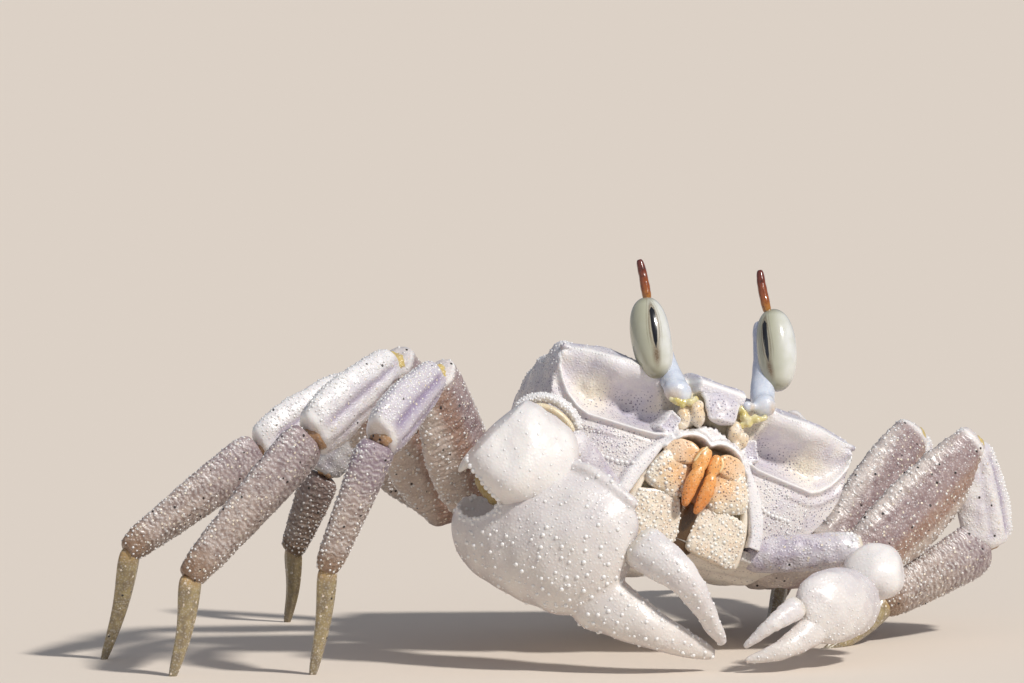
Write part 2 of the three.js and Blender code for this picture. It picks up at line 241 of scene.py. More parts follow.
def ball(centre, radii, sides=24, rings=16, turn=0.0):
    bm = bmesh.new()
    bmesh.ops.create_uvsphere(bm, u_segments=sides, v_segments=rings, radius=1)
    form = Form(bm)
    q = form.at * np.asarray(radii, dtype=float)
    cos, sin = math.cos(turn), math.sin(turn)
    form.at = np.stack([q[:, 0] * cos - q[:, 2] * sin, q[:, 1], q[:, 0] * sin + q[:, 2] * cos], 1)
    form.at = form.at + np.asarray(centre, dtype=float)
    return form


def fused(forms, grain, rounds, ease, cutter=None):
    """Join forms into one skin of about the given grain, less the cutter, and smooth the joins."""
    body = joined("fusing", forms)
    weld(body, grain)
    if cutter:
        knife = joined("knife", [cutter])
        cut = body.modifiers.new("cut", "BOOLEAN")
        cut.object = knife
        cut.operation = "DIFFERENCE"
        weld(body, grain)
    relax = body.modifiers.new("ease", "SMOOTH")
    relax.factor = ease
    relax.iterations = rounds
    graph = bpy.context.evaluated_depsgraph_get()
    graph.update()
    made = bpy.data.meshes.new_from_object(body.evaluated_get(graph))
    bm = bmesh.new()
    bm.from_mesh(made)
    bpy.data.objects.remove(body)
    if cutter:
        bpy.data.objects.remove(knife)
    return Form(bm)


def weld(body, grain):
    remesh = body.modifiers.new("weld", "REMESH")
    remesh.mode = "VOXEL"
    remesh.voxel_size = grain


def joined(name, forms):
    bm = bmesh.new()
    for form in forms:
        bm.from_mesh(form.settled())
    mesh = bpy.data.meshes.new(name)
    bm.to_mesh(mesh)
    bm.free()
    body = bpy.data.objects.new(name, mesh)
    bpy.context.scene.collection.objects.link(body)
    return body


def scatter(form, weight, count, spacing, seed):
    """Indices of a form's points, picked by chance in the weighted parts, no two too close."""
    source = np.random.default_rng(seed)
    weight = np.clip(weight, 0, None)
    tries = min(count * TRIES_PER_GRAIN, int((weight > 0).sum()))
    if tries == 0:
        return np.array([], dtype=int)
    picks = source.choice(len(form.at), tries, replace=False, p=weight / weight.sum())
    taken = {}
    chosen = []
    for i in picks:
        p = form.at[i]
        cell = tuple(np.floor(p / spacing).astype(int))
        near = [
            taken.get((cell[0] + a, cell[1] + b, cell[2] + c))
            for a in (-1, 0, 1) for b in (-1, 0, 1) for c in (-1, 0, 1)
        ]
        if any(q is not None and np.linalg.norm(form.at[q] - p) < spacing for q in near):
            continue
        taken[cell] = i
        chosen.append(i)
        if len(chosen) >= count:
            break
    return np.array(chosen, dtype=int)


def beads(points, radii, fine, **tint):
    bm = bmesh.new()
    for point, radius in zip(points, radii):
        spot = Matrix.Translation(Vector(point))
        bmesh.ops.create_icosphere(bm, subdivisions=fine, radius=float(radius), matrix=spot)
    return Form(bm).tint(**tint)


def granules(form, weight, count, spacing, sizes, seed, sink, fine, **tint):
    """Beads half sunk in a form's surface."""
    chosen = scatter(form, weight, count, spacing, seed)
    source = np.random.default_rng(seed + 1)
    radii = source.uniform(sizes[0], sizes[1], len(chosen))
    points = form.at[chosen] - form.normals()[chosen] * (radii * sink)[:, None]
    return beads(points, radii, fine, **tint)


# ---- materials ---------------------------------------------------------------
def tone(red, green, blue):
    """A colour given by its everyday 0 to 255 values, as linear light."""
    parts = [v / 255 for v in (red, green, blue)]
    return tuple(v / 12.92 if v <= 0.04045 else ((v + 0.055) / 1.055) ** 2.4 for v in parts) + (1.0,)


class Value:
    """A node's output that adds Math nodes when it is used in an expression."""

    def __init__(self, finish, socket):
        self.finish = finish
        self.socket = socket

    def maths(self, operation, first, second):
        return self.finish.node("ShaderNodeMath", {"operation": operation}, {0: first, 1: second})

    def __add__(self, other):
        return self.maths("ADD", self, other)

    def __sub__(self, other):
        return self.maths("SUBTRACT", self, other)

    def __rsub__(self, other):
        return self.maths("SUBTRACT", other, self)

    def __mul__(self, other):
        return self.maths("MULTIPLY", self, other)

    def __truediv__(self, other):
        return self.maths("DIVIDE", self, other)

    def __lt__(self, other):
        return self.maths("LESS_THAN", self, other)

    def __gt__(self, other):
        return self.maths("GREATER_THAN", self, other)

    __radd__ = __add__
    __rmul__ = __mul__


NOISE_ROUGHNESS = 0.55


class Finish:
    """One material, built from expressions."""

    def __init__(self, name):
        self.material = bpy.data.materials.new(name)
        self.material.use_nodes = True
        self.tree = self.material.node_tree
        self.shader = self.tree.nodes["Principled BSDF"]
        self.place = self.node("ShaderNodeTexCoord", {}, {}, "Object")

    def node(self, kind, settings, inputs, output=0):
        made = self.tree.nodes.new(kind)
        for key, value in settings.items():
            if key == "stops":
                self.set_stops(made.color_ramp, value)
            else:
                setattr(made, key, value)
        for key, value in inputs.items():
            self.feed(made.inputs[key], value)
        return Value(self, made.outputs[output])

    def set_stops(self, ramp, stops):
        while len(ramp.elements) < len(stops):
            ramp.elements.new(1.0)
        for element, (position, colour) in zip(ramp.elements, stops):
            element.position = position
            element.color = colour

    def feed(self, socket, value):
        if isinstance(value, Value):
            self.tree.links.new(value.socket, socket)
        else:
            socket.default_value = value

    def mix(self, first, second, amount):
        return self.node("ShaderNodeMix", {"data_type": "RGBA"}, {0: amount, 6: first, 7: second}, 2)

    def noise(self, size, detail):
        """Noise whose features are about size millimetres across."""
        return self.node(
            "ShaderNodeTexNoise", {},
            {"Vector": self.place, "Scale": 1 / (size * MM), "Detail": detail, "Roughness": NOISE_ROUGHNESS},
        )

    def cells(self, size, output="Distance", randomness=1.0):
        return self.node(
            "ShaderNodeTexVoronoi", {},
            {"Vector": self.place, "Scale": 1 / (size * MM), "Randomness": randomness}, output,
        )

    def absolute(self, value):
        return self.node("ShaderNodeMath", {"operation": "ABSOLUTE"}, {0: value})

    def square_root(self, value):
        return self.node("ShaderNodeMath", {"operation": "SQRT"}, {0: value})

    def ramp(self, value, *stops):
        return self.node("ShaderNodeValToRGB", {"stops": stops}, {0: value})

    def between(self, value, low, high):
        """0 below low, 1 above high and even in between."""
        return self.node(
            "ShaderNodeMapRange", {"clamp": True},
            {0: value, 1: low, 2: high, 3: 0.0, 4: 1.0},
        )

    def attribute(self, name, output):
        return self.node("ShaderNodeAttribute", {"attribute_name": name}, {}, output)

    def channels(self):
        """The painted amounts: warm, dots, bright, shade and dark."""
        paint = self.attribute("paint", "Color")
        parts = self.node("ShaderNodeSeparateColor", {}, {0: paint}, 0)
        outs = parts.socket.node.outputs
        shade = self.attribute("paint", "Alpha")
        dark = self.attribute("dark", "Fac")
        return [Value(self, outs[i]) for i in range(3)] + [shade, dark]

    def bump(self, height):
        """A bump whose height is in millimetres."""
        return self.node("ShaderNodeBump", {}, {"Height": height, "Distance": MM, "Strength": 1.0})

    def glow(self, weight, depth):
        """Let light sink in, by a depth in metres for red, green and blue."""
        self.set(Subsurface_Weight=weight, Subsurface_Radius=depth, Subsurface_Scale=1.0)

    def set(self, **sockets):
        for name, value in sockets.items():
            self.feed(self.shader.inputs[name.replace("_", " ")], value)
        return self.material


WHITE = tone(246, 243, 240)
DOT = tone(96, 84, 112)
# Brown of the painted shade in hollows, under parts and in the mouth.
SHADE_BROWN = tone(66, 46, 24)
PALE_GRIT = tone(236, 224, 206)
BLACK_GRIT = tone(52, 46, 44)
GRIT_CELL = 0.55


def shell_finish(name, ground, tint, warm, shade, relief, bright=WHITE, painted_shade=SHADE_BROWN, patch=2.4,
                 dot_cell=0.4, dot_size=0.25, dot_colour=DOT, dot_depth=0.8, grain=0.3, rough=0.42,
                 coat=0.25, specks=0.0):
    """Crab shell: mottled ground, painted blush, a lilac tone that is partly painted shade, crests, dots,
    fine grain and painted shade in hollows.

    Patch, dot_cell, grain and relief are in millimetres, and specks is the share of grit."""
    f = Finish(name)
    warmth, dots, crest, lilac_and_shade, dark = f.channels()
    mottle = f.between(f.noise(patch, 4.0), 0.42, 0.62)
    colour = f.mix(ground, tint, mottle)
    # Lilac tone, partly the shell's own and partly painted shade.
    colour = f.mix(colour, shade, lilac_and_shade)
    colour = f.mix(colour, warm, warmth)
    pearl = f.between(f.cells(grain), 0.55, 0.1)
    colour = f.mix(colour, bright, pearl * 0.25 * (1 - dark))
    colour = f.mix(colour, bright, crest)
    reach = f.cells(dot_cell, randomness=0.75)
    wide = f.between(f.noise(0.9, 1.0), 0.3, 0.7) * 0.12 + (dot_size - 0.06)
    dot = f.between(reach - wide, 0.05, -0.05) * f.between(dots, 0.05, 0.5) * (1 - crest * 0.8)
    colour = f.mix(colour, dot_colour, dot * dot_depth)
    height = (pearl * relief + f.noise(0.12, 2.0) * 0.02) * (1 - crest * 0.85)
    if specks:
        grit = f.between(f.cells(GRIT_CELL), 0.34, 0.26)
        kind = f.cells(GRIT_CELL, "Color")
        parts = f.node("ShaderNodeSeparateColor", {}, {0: kind}, 0)
        light = grit * (parts > 1 - specks) * (1 - crest)
        black = grit * (parts < specks * 0.16)
        colour = f.mix(colour, PALE_GRIT, light)
        colour = f.mix(colour, BLACK_GRIT, black)
        height = height + (light + black) * 0.09
    # Painted shade: darken towards the shade brown where the dark paint says.
    colour = f.mix(colour, painted_shade, dark)
    gloss = f.between(f.noise(0.8, 3.0), 0.2, 0.8) * 0.16 + (rough - 0.08)
    f.glow(0.12, (0.0012, 0.0008, 0.0006))
    return f.set(Base_Color=colour, Roughness=gloss, Coat_Weight=coat, Coat_Roughness=0.22,
                 Normal=f.bump(height))


def carapace_finish():
    return shell_finish(
        "crab_shell", tone(230, 224, 222), tone(213, 206, 214), tone(236, 222, 184),
        tone(176, 172, 196), relief=0.05)


def belly_finish():
    return shell_finish(
        "crab_belly", tone(236, 231, 222), tone(222, 214, 206), tone(230, 206, 164),
        tone(196, 188, 190), relief=0.03, rough=0.4)


def claw_finish():
    return shell_finish(
        "crab_claw", tone(226, 219, 213), tone(210, 201, 199), tone(190, 164, 84),
        tone(184, 175, 186), relief=0.045, grain=0.42, rough=0.36, coat=0.35)


def wrist_finish():
    return shell_finish(
        "leg_wrist", tone(226, 221, 220), tone(200, 191, 200), tone(216, 186, 88),
        tone(152, 138, 164), relief=0.06, grain=0.34, patch=1.6, rough=0.32, coat=0.4, specks=0.14,
        painted_shade=tone(70, 54, 26))


def leg_finish():
    return shell_finish(
        "leg_shell", tone(170, 152, 142), tone(132, 112, 104), tone(172, 122, 62),
        tone(136, 120, 146), relief=0.06, grain=0.36, patch=1.3, rough=0.4, coat=0.25, specks=0.3,
        painted_shade=tone(60, 46, 22))


def toe_finish():
    return shell_finish(
        "leg_toe", tone(150, 130, 74), tone(116, 96, 52), tone(196, 146, 60),
        tone(84, 70, 44), relief=0.04, patch=1.0, rough=0.34, coat=0.4, specks=0.18)


def mouth_finish():
    return shell_finish(
        "mouth_plate", tone(240, 226, 204), tone(238, 210, 170), tone(240, 172, 92),
        tone(220, 204, 190), bright=tone(250, 246, 236), patch=1.2, dot_cell=0.36,
        dot_size=0.27, dot_colour=tone(92, 56, 62), dot_depth=0.85, relief=0.03, rough=0.32, coat=0.45)


def palp_finish():
    return shell_finish(
        "mouth_palp", tone(245, 180, 106), tone(240, 166, 86), tone(246, 212, 150),
        tone(230, 136, 60), bright=tone(252, 232, 190), patch=1.4, dot_cell=0.36,
        dot_size=0.24, dot_colour=tone(112, 68, 56), dot_depth=0.75, relief=0.02, rough=0.3, coat=0.5)


def feeler_finish():
    return shell_finish(
        "feeler_joint", tone(236, 228, 212), tone(230, 212, 176), tone(232, 190, 116),
        tone(206, 196, 202), relief=0.02, patch=0.9, dot_cell=0.34, dot_size=0.24, rough=0.32, coat=0.45)


def skin_finish():
    return shell_finish(
        "joint_skin", tone(230, 222, 180), tone(214, 206, 160), tone(206, 186, 62),
        tone(196, 178, 120), relief=0.02, patch=0.6, rough=0.2, coat=0.8)


def stalk_finish():
    return shell_finish(
        "eye_stalk", tone(214, 220, 230), tone(196, 204, 220), tone(222, 186, 128),
        tone(146, 152, 180), relief=0.012, patch=1.5, rough=0.24, coat=0.6)


def cornea_finish():
    """Glossy eye: paint holds how far round and how far up from the dark slit a point is."""
    f = Finish("eye_cornea")
    around, height, inner, _, _ = f.channels()
    side = f.absolute(around - 0.5)
    rise = f.absolute(height - 0.575)
    grain = f.between(f.cells(0.07), 0.1, 0.6)
    taper = f.between(height, 0.32, 0.58)
    half_width = taper * 0.013 + 0.0105
    tip_round = f.between(height, 0.84, 0.79) * f.between(height, 0.3, 0.4)
    slit = f.between(side - half_width * tip_round, 0.003, -0.003) * f.between(tip_round, 0.05, 0.2)
    ring = f.square_root(side * side / (0.038 * 0.038) + rise * rise / (0.29 * 0.29))
    line = f.between(f.absolute(ring - 1.0), 0.3, 0.02) + f.between(f.absolute(ring - 1.5), 0.2, 0.02) * 0.5
    line = line * f.between(height, 0.3, 0.46) * (0.2 + 0.65 * grain)
    below = f.between(height, 0.46, 0.27) * f.between(height, 0.07, 0.2)
    cloud = f.between(side, 0.046, 0.008) * below * (0.4 + 0.6 * grain)
    halo = f.between(ring, 1.1, 0.6) * f.between(height, 0.26, 0.42) * 0.4
    body = f.mix(tone(187, 186, 163), tone(230, 231, 229), inner)
    body = f.mix(body, tone(198, 198, 178), f.between(f.noise(1.8, 2.0), 0.4, 0.7) * 0.45)
    body = f.mix(body, tone(160, 160, 134), grain * 0.14)
    edge = f.between(height, 0.13, 0.0) + f.between(height, 0.9, 1.0)
    body = f.mix(body, tone(128, 122, 88), edge * 0.7)
    body = f.mix(body, tone(176, 154, 130), halo)
    body = f.mix(body, tone(112, 88, 62), cloud)
    body = f.mix(body, tone(116, 98, 78), line)
    body = f.mix(body, tone(10, 11, 18), slit)
    f.glow(0.15, (0.0012, 0.0012, 0.0009))
    return f.set(Base_Color=body, Roughness=0.16, Coat_Weight=0.9, Coat_Roughness=0.04,
                 Normal=f.bump(f.noise(0.3, 2.0) * 0.004))


def horn_finish():
    """Amber rod: paint holds how far up it a point is."""
    f = Finish("eye_horn")
    up = f.channels()[0]
    streak = f.noise(0.45, 4.0)
    colour = f.ramp(
        up + (streak - 0.5) * 0.3,
        (0.0, tone(176, 118, 44)), (0.25, tone(150, 78, 30)),
        (0.6, tone(118, 50, 26)), (1.0, tone(98, 38, 28)),
    )
    colour = f.mix(colour, tone(64, 30, 18), f.between(streak, 0.55, 0.66) * 0.75)
    return f.set(Base_Color=colour, Roughness=0.2, Coat_Weight=1.0, Coat_Roughness=0.05,
                 Normal=f.bump(streak * 0.05))


FINISHES = {}


def dress(name, forms, finish, slot, *nodes):
    """Join forms into one finished piece that stands for the named nodes."""
    body = joined(name, forms)
    mesh = body.data
    flat = np.empty(len(mesh.vertices) * 3)
    mesh.vertices.foreach_get("co", flat)
    points = (flat.reshape(-1, 3) + ROOM_SHIFT) * MM
    mesh.vertices.foreach_set("co", points.ravel())
    mesh.shade_smooth()
    mesh.update()
    if finish not in FINISHES:
        FINISHES[finish] = finish()
    mesh.materials.append(FINISHES[finish])
    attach(body, "root")
    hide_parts(*nodes)
    return body


# ---- trunk -------------------------------------------------------------------
# Lines on the front of the trunk, as (distance from the middle, height). The upper
# edge of the mouth frame is given from right to left, as it is not quite even.
MARGIN = [(2.6, 0.3), (7.0, 0.3), (9.0, 0.12), (20.0, 0.04)]
ORBIT_ROOF = [(4.5, -0.3), (7.5, -1.2), (10.3, -2.3), (12.0, -1.9), (14.5, -1.15), (16.5, -0.7),
              (19.5, -1.2)]
ORBIT_FLOOR = [(4.6, -6.9), (5.1, -7.3), (7.0, -7.85), (9.1, -7.9), (13.5, -7.8), (15.2, -7.7),
               (16.5, -7.0), (17.8, -5.8), (18.8, -4.3), (19.4, -3.0), (19.8, -0.9)]
CHEEK_BAND = [(5.1, -7.6), (6.25, -9.5), (7.4, -11.6), (8.35, -13.7), (8.85, -15.7), (8.9, -17.6)]
CHEEK_PLATE = [(5.8, -4.1), (7.0, -6.9), (4.8, -7.7), (4.05, -5.0)]
CHEEK_PEARLS = [(8.8, -12.2), (10.5, -12.5), (13.0, -12.3)]
MOUTH_SIDE = [(7.7, 4.9), (9.0, 5.5), (11.35, 6.4), (13.45, 7.3), (15.9, 8.2), (18.0, 8.3)]
ARCH = [(0.0, -7.2), (0.9, -6.6), (1.9, -6.43), (2.9, -6.62), (3.8, -7.08), (4.5, -7.75), (5.4, -8.9)]
FRAME_EDGE = [(-4.2, -6.5), (-3.0, -6.06), (-2.15, -5.6), (-1.4, -4.97), (0.45, -4.72), (0.7, -5.09),
              (1.55, -5.2), (2.25, -5.73), (3.15, -5.8), (4.2, -6.4)]
ORBIT_DEPTH = 2.9
EYE_NOTCH = 8.6
EYE_POCKET = 9.8
# Depths on the front: the eye's socket, the feelers' pit, the mouth frame, the plate and
# band of the cheek, and the back of the mouth.
SOCKET_Y = -2.6
PIT_Y = -4.5
FRAME_Y = -6.2
CHEEK_PLATE_Y = -5.75
CHEEK_BAND_Y = -5.55
MOUTH_BACK = -4.4
# Cuts across, along and up the two boxes that the trunk is shaped from.
CARAPACE_CUTS = (204, 38, 106)
BELLY_CUTS = (60, 56, 36)
# The rows of fine teeth and pearls, the rings of the belly and the joints of its flap.
BROW_STEP = 0.34
BROW_START = 10
PEARL_STEP = 0.6
BELLY_RING = 5.6
FLAP_JOINTS = 6.4


def height_at(line, place):
    return np.interp(place, *zip(*line))


def within(x, z, corners):
    """How far each (x, z) lies inside a convex outline, or outside it where negative."""
    middle = np.mean(corners, axis=0)
    least = np.full(len(x), 1e9)
    for (ax, az), (bx, bz) in zip(corners, corners[1:] + corners[:1]):
        nx, nz = unit([az - bz, bx - ax])
        facing = math.copysign(1, (middle[0] - ax) * nx + (middle[1] - az) * nz)
        least = np.minimum(least, ((x - ax) * nx + (z - az) * nz) * facing)
    return least


def face_curve(x):
    """How far the front of the trunk bulges at x."""
    return FACE_BULGE * np.maximum(0, 1 - (x / FACE_HALF_WIDTH) ** 2)


def trunk_rear(u, v):
    """The y of the rear of the trunk, which curves in towards its sides and where v reaches 1."""
    return FRONT_Y + TRUNK_LENGTH - REAR_ROUNDING * np.maximum(np.abs(u), np.maximum(v, 0)) ** 6


def face_depth(x, z):
    """The y of the front of the trunk at (x, z), and its paint."""
    a = np.abs(x)
    margin, roof, floor = (height_at(line, a) for line in (MARGIN, ORBIT_ROOF, ORBIT_FLOOR))
    y = FRONT_Y - face_curve(a) + 1.5 * smooth(a, 15, 20)
    swollen_cheek = hump(a, 12, 4.5) * hump(z, -11.5, 3.4)
    y -= 0.8 * swollen_cheek
    y, bowl, roll = sink_orbit(y, a, z, margin, roof, floor)
    away, _ = along_line(a, z, ORBIT_FLOOR)
    under = away * np.sign(floor - z)
    ridge = hump(away, 0, 0.27)
    ridge_foot, groove = hump(under, 0, 0.9), hump(under, 0.65, 0.24)
    fold = hump(under, 1.5, 0.3) * smooth(a, 10.5, 12.5)
    y -= 0.5 * ridge + 0.25 * ridge_foot
    y += 0.2 * groove
    y -= 0.28 * fold
    socket = smooth(a, 3.0, 3.7) * (1 - smooth(a, 6.4, 8.2)) * smooth(z, -5.0, -4.0)
    y = np.maximum(y, mix(y, SOCKET_Y, socket))
    chips = 0.1 * np.sin(x * 9.3) + 0.06 * np.sin(x * 17)
    edge = height_at(FRAME_EDGE, x) + chips
    pit = (1 - smooth(a, 3.7, 4.3)) * smooth(-z, 0.9, 1.4) * smooth(z - edge, -0.05, 0.2)
    y = mix(y, PIT_Y, pit)
    lip = (1 - smooth(a, 4.1, 4.8)) * smooth(edge - z, -0.08, 0.14)
    y = mix(y, FRAME_Y, lip)
    plate_depth = within(a, z, CHEEK_PLATE)
    plate = smooth(plate_depth, -0.1, 0.18)
    y = mix(y, CHEEK_PLATE_Y + 0.25 * smooth(plate_depth, 0.1, 0.9), plate)
    y, strip, rim, inside = frame_mouth(y, a, z)
    marks = SimpleNamespace(margin=margin, bowl=bowl, roll=roll, under=under, ridge=ridge, edge=edge,
                            socket=socket, pit=pit, lip=lip, plate=plate, plate_depth=plate_depth,
                            strip=strip, rim=rim, inside=inside)
    return y, face_paint(x, z, marks)


def face_paint(x, z, on):
    """Paint for the front of the trunk, from the marks that say how much a point is on each form."""
    a = np.abs(x)
    outside = 1 - on.inside
    crest = np.maximum.reduce([
        hump(z - on.margin, 0, 0.3) * 0.95,
        on.ridge * 0.85,
        on.roll * 0.5,
        on.rim,
        on.strip * 0.65,
        on.plate * hump(on.plate_depth, 0.1, 0.2),
        on.lip * 0.6,
    ]) * outside
    cheek = smooth(on.under, 0.2, 0.9) * (1 - on.strip) * outside * (1 - on.lip) * smooth(a, 4.5, 5.5)
    pale_end = hump(a, 15.0, 3.2) * hump(z, -4.0, 2.6)
    dots = np.maximum.reduce([
        cheek * 0.95,
        on.bowl * (1 - 0.75 * pale_end) * smooth(19 - a, 0, 3) * smooth(-z, 0.8, 2.2),
        on.plate * 0.8,
        on.strip * 0.45,
        on.lip * 0.25,
    ]) * outside
    # Painted shade: the gap under the front lobe, the shadow under the arch and the central cleft darken the
    # mouth.
    gap_shade = hump(z - on.edge, 0.15, 0.28) * (1 - smooth(a, 2.4, 3.4))
    blush = 0.75 * pale_end * on.bowl + 0.45 * on.socket + 0.75 * on.pit + 0.12 * cheek
    # In the bowl near the eye the lilac is painted shade; on the plate, roll and band it is the shell's own
    # tone.
    lilac_and_shade = 0.4 * on.bowl * hump(a, 8.5, 3.8) + 0.12 * cheek
    lilac_and_shade = lilac_and_shade + 0.3 * on.plate + 0.15 * on.roll + 0.15 * on.strip
    shadow = hump(height_at(ARCH, a) - z, 0.5, 0.5)
    cleft_shade = hump(x, 0, 1.7) * smooth(-z, 9, 11)
    painted_shade = on.inside * np.clip(0.25 + 0.5 * shadow + 0.6 * cleft_shade, 0, 1)
    return dict(
        warm=np.clip(blush, 0, 1) * outside + on.inside * 0.8,
        dots=dots,
        bright=crest,
        shade=lilac_and_shade,
        dark=painted_shade + 0.75 * gap_shade * (1 - on.rim),
    )


def sink_orbit(y, a, z, margin, roof, floor):
    """The eye's bowl between its roof and floor, below a thick roll."""
    fall = (roof - z) / np.maximum(roof - floor, 0.3)
    bowl = 1 - np.abs(1 - 2 * np.clip(fall, 0, 1) ** 1.36) ** 1.8
    bowl *= smooth(a, 4.4, 7.5) * (1 - 0.72 * smooth(a, 12, 19.5))
    roll = hump((z - (margin + roof) / 2) / ((margin - roof) / 2 + 0.15), 0, 1)
    roll *= smooth(a, 6.5, 8.5) * (1 - smooth(a, 14, 17))
    notch = hump(a, EYE_NOTCH, 2.8) * smooth(z, -7.3, -5.0)
    pocket = hump(a, EYE_POCKET, 2.6) * hump(z, -3.5, 2.0)
    return y + ORBIT_DEPTH * bowl - 0.4 * roll + 1.6 * notch + 2.6 * pocket, bowl, roll


def frame_mouth(y, a, z):
    """The smooth bands beside the mouth, the double arch over it and the mouth itself."""
    band, run = along_line(a, z, CHEEK_BAND)
    breadth = mix(0.5, 1.1, smooth(run, 0, 5))
    strip = 1 - smooth(band, breadth - 0.1, breadth + 0.1)
    crown = np.sqrt(np.maximum(0, 1 - (band / breadth) ** 2))
    y = mix(y, CHEEK_BAND_Y - 0.45 * crown, strip)
    arch, _ = along_line(a, z, ARCH)
    rim = hump(arch, 0, 0.27)
    outer = hump(z - height_at(ARCH, a), 0.72, 0.15) * (1 - smooth(a, 4.3, 5.0))
    knot = hump(np.hypot(a - 4.85, z + 7.6), 0, 0.5)
    y = y - 0.6 * rim - 0.35 * outer - 0.3 * knot
    side = np.interp(-z, *zip(*MOUTH_SIDE))
    inside = smooth(side - a, -0.1, 0.15) * smooth(height_at(ARCH, a) - 0.3 - z, -0.05, 0.2)
    return mix(y, MOUTH_BACK, inside), strip, rim, inside


def grid_box(cuts):
    """A cube of side 2 whose faces are cut into a fine grid."""
    bm = bmesh.new()
    bmesh.ops.create_cube(bm, size=2)
    for axis in (0, 2, 1):
        edges = [e for e in bm.edges if abs(e.verts[0].co[axis] - e.verts[1].co[axis]) > 1e-6]
        bmesh.ops.subdivide_edges(bm, edges=edges, cuts=cuts[axis], use_grid_fill=True)
    return Form(bm)


def trunk_top(s, a):
    return mix(height_at(MARGIN, a), -2.2, s**3) + DORSAL_RISE * np.sin(math.pi * s**0.58) ** 1.4


def trunk_bottom(s):
    return -BELLY_DEPTH + 8.5 * smooth(s, 0.3, 1.05) + 1.2 * (1 - smooth(s, 0, 0.2))


def trunk_seam(s):
    """Height of the seam along the flanks, which rises evenly towards the rear."""
    back = (TRUNK_LENGTH * s) / (60 - FRONT_Y)
    return mix(SUTURE_FRONT, mix(SUTURE_FRONT, SUTURE_REAR, 62 / TRUNK_LENGTH), back)


def trunk_half(s, z):
    half = TIP_HALF_SPAN - 0.2 - 7.6 * np.maximum(0, s - 0.15) ** 1.6
    return half * (1 - 0.36 * smooth(-z, 6, 21))


def squared(u, v, power):
    """Round the corners between the sides and the back (or belly) of a box section."""
    up = np.maximum(v, 0)
    big = np.maximum(np.maximum(np.abs(u), up), 1e-9)
    n = ((np.abs(u) / big) ** power + (up / big) ** power) ** (1 / power)
    return u / n, np.where(v > 0, v / n, v)


def carapace():
    form = grid_box(CARAPACE_CUTS)
    u, depth, v = form.at.T
    s = (depth + 1) / 2
    u, v = squared(u, v, mix(16.0, 5.0, smooth(s, 0, 0.25)))
    top, seam = trunk_top(s, np.abs(u) * TIP_HALF_SPAN), trunk_seam(s) + SEAM
    z = mix(seam, top, (v + 1) / 2)
    x = u * trunk_half(s, z)
    front, paint = face_depth(x, z)
    y = mix(front, trunk_rear(u, v), s)
    form.at = np.stack([x, y, z], 1)
    fade = 1 - smooth(s, 0.0, 0.04)
    back = smooth(s, 0.0, 0.05)
    upper = smooth(v, 0.55, 0.9)
    mid = hump(x, 0, 9) * upper
    heart = hump(np.hypot(x / 5.2, (y - 17) / 4.2), 1.25, 0.22)
    heart = heart + hump(np.hypot(x / 7, (y - 8) / 5), 1.3, 0.2)
    rough = ripple(form.at, 5.5, 3) * 0.12 + ripple(form.at, 2.2, 4) * 0.05
    lumps = fade * 0.09 * ripple(form.at, 1.7, 12) * hump(x, 15 * np.sign(x), 3) * hump(z, -4.2, 2.4)
    lift = back * (0.3 * mid * hump(y, 9, 6) - 0.35 * heart * mid + rough) + lumps
    margin = back * hump(np.abs(u), 0.98, 0.05) * smooth(v, 0.35, 0.8) * (1 - smooth(s, 0.55, 0.9))
    form.push(lift + 0.25 * margin)
    blotch = 0.5 + 0.5 * ripple(form.at, 6.0, 9)
    lower = back * (1 - upper)
    # On the back the even lilac is painted shade and its blotches are the shell's own mottle; the flanks get
    # a little painted shade as well.
    form.tint(
        warm=paint["warm"] * fade + 0.1 * lower,
        dots=paint["dots"] * fade + 0.75 * lower + 0.6 * back * upper,
        bright=paint["bright"] * fade + 0.6 * margin,
        shade=paint["shade"] * fade + back * upper * (0.35 + 0.5 * blotch * mid) + lower * 0.2,
        dark=paint["dark"] * fade,
    )
    form.at = in_stance(form.at)
    parts = [form, front_lobe()]
    for side in (-1, 1):
        parts += [corner_tooth(side), brow_row(side), cheek_pearls(side)]
    parts.append(granules(form, margin, 230, 0.34, (0.12, 0.22), 22, 0.3, 1, bright=0.9))
    parts.append(granules(form, back * upper * (0.3 + mid), 620, 0.8, (0.13, 0.24), 21, 0.5, 1, bright=0.5))
    dress("carapace_shell", parts, carapace_finish, "shell", "carapace")


def face_points(spots, side, forward=0.0):
    spots = np.asarray(spots, dtype=float)
    x = spots[:, 0] * side
    y, _ = face_depth(x, spots[:, 1])
    return in_stance(np.stack([x, y - forward, spots[:, 1]], 1))


def spaced(line, step):
    """Points every step millimetres along a broken line."""
    line = np.asarray(line, dtype=float)
    lengths = np.linalg.norm(np.diff(line, axis=0), axis=1)
    marks = np.concatenate([[0], np.cumsum(lengths)])
    places = np.arange(0, marks[-1], step)
    return np.stack([np.interp(places, marks, line[:, i]) for i in range(line.shape[1])], 1)


def corner_tooth(side):
    path = in_stance([[15.0 * side, 3.2, -0.6], [18.2 * side, 0.6, -0.3], [20.0 * side, -0.6, -0.15]])
    across = STANCE @ np.array([0.4 * side, 1, 0])
    form = limb(path, across, lambda t: mix(3.0, 0.35, t**0.9), (1.1, 0.35), 28, 40)
    tip = smooth(form.t, 0.85, 1.0)
    return form.tint(bright=0.3 * (1 - tip), dots=0.6, shade=0.5 * tip, dark=0.25 * tip)


def brow_row(side):
    """The fine white teeth along the front margin."""
    spots = spaced(MARGIN, BROW_STEP)[BROW_START:]
    points = face_points(spots - [0, 0.1], side, -0.1)
    return beads(points, rng.uniform(0.13, 0.2, len(points)), 1, bright=1.0)


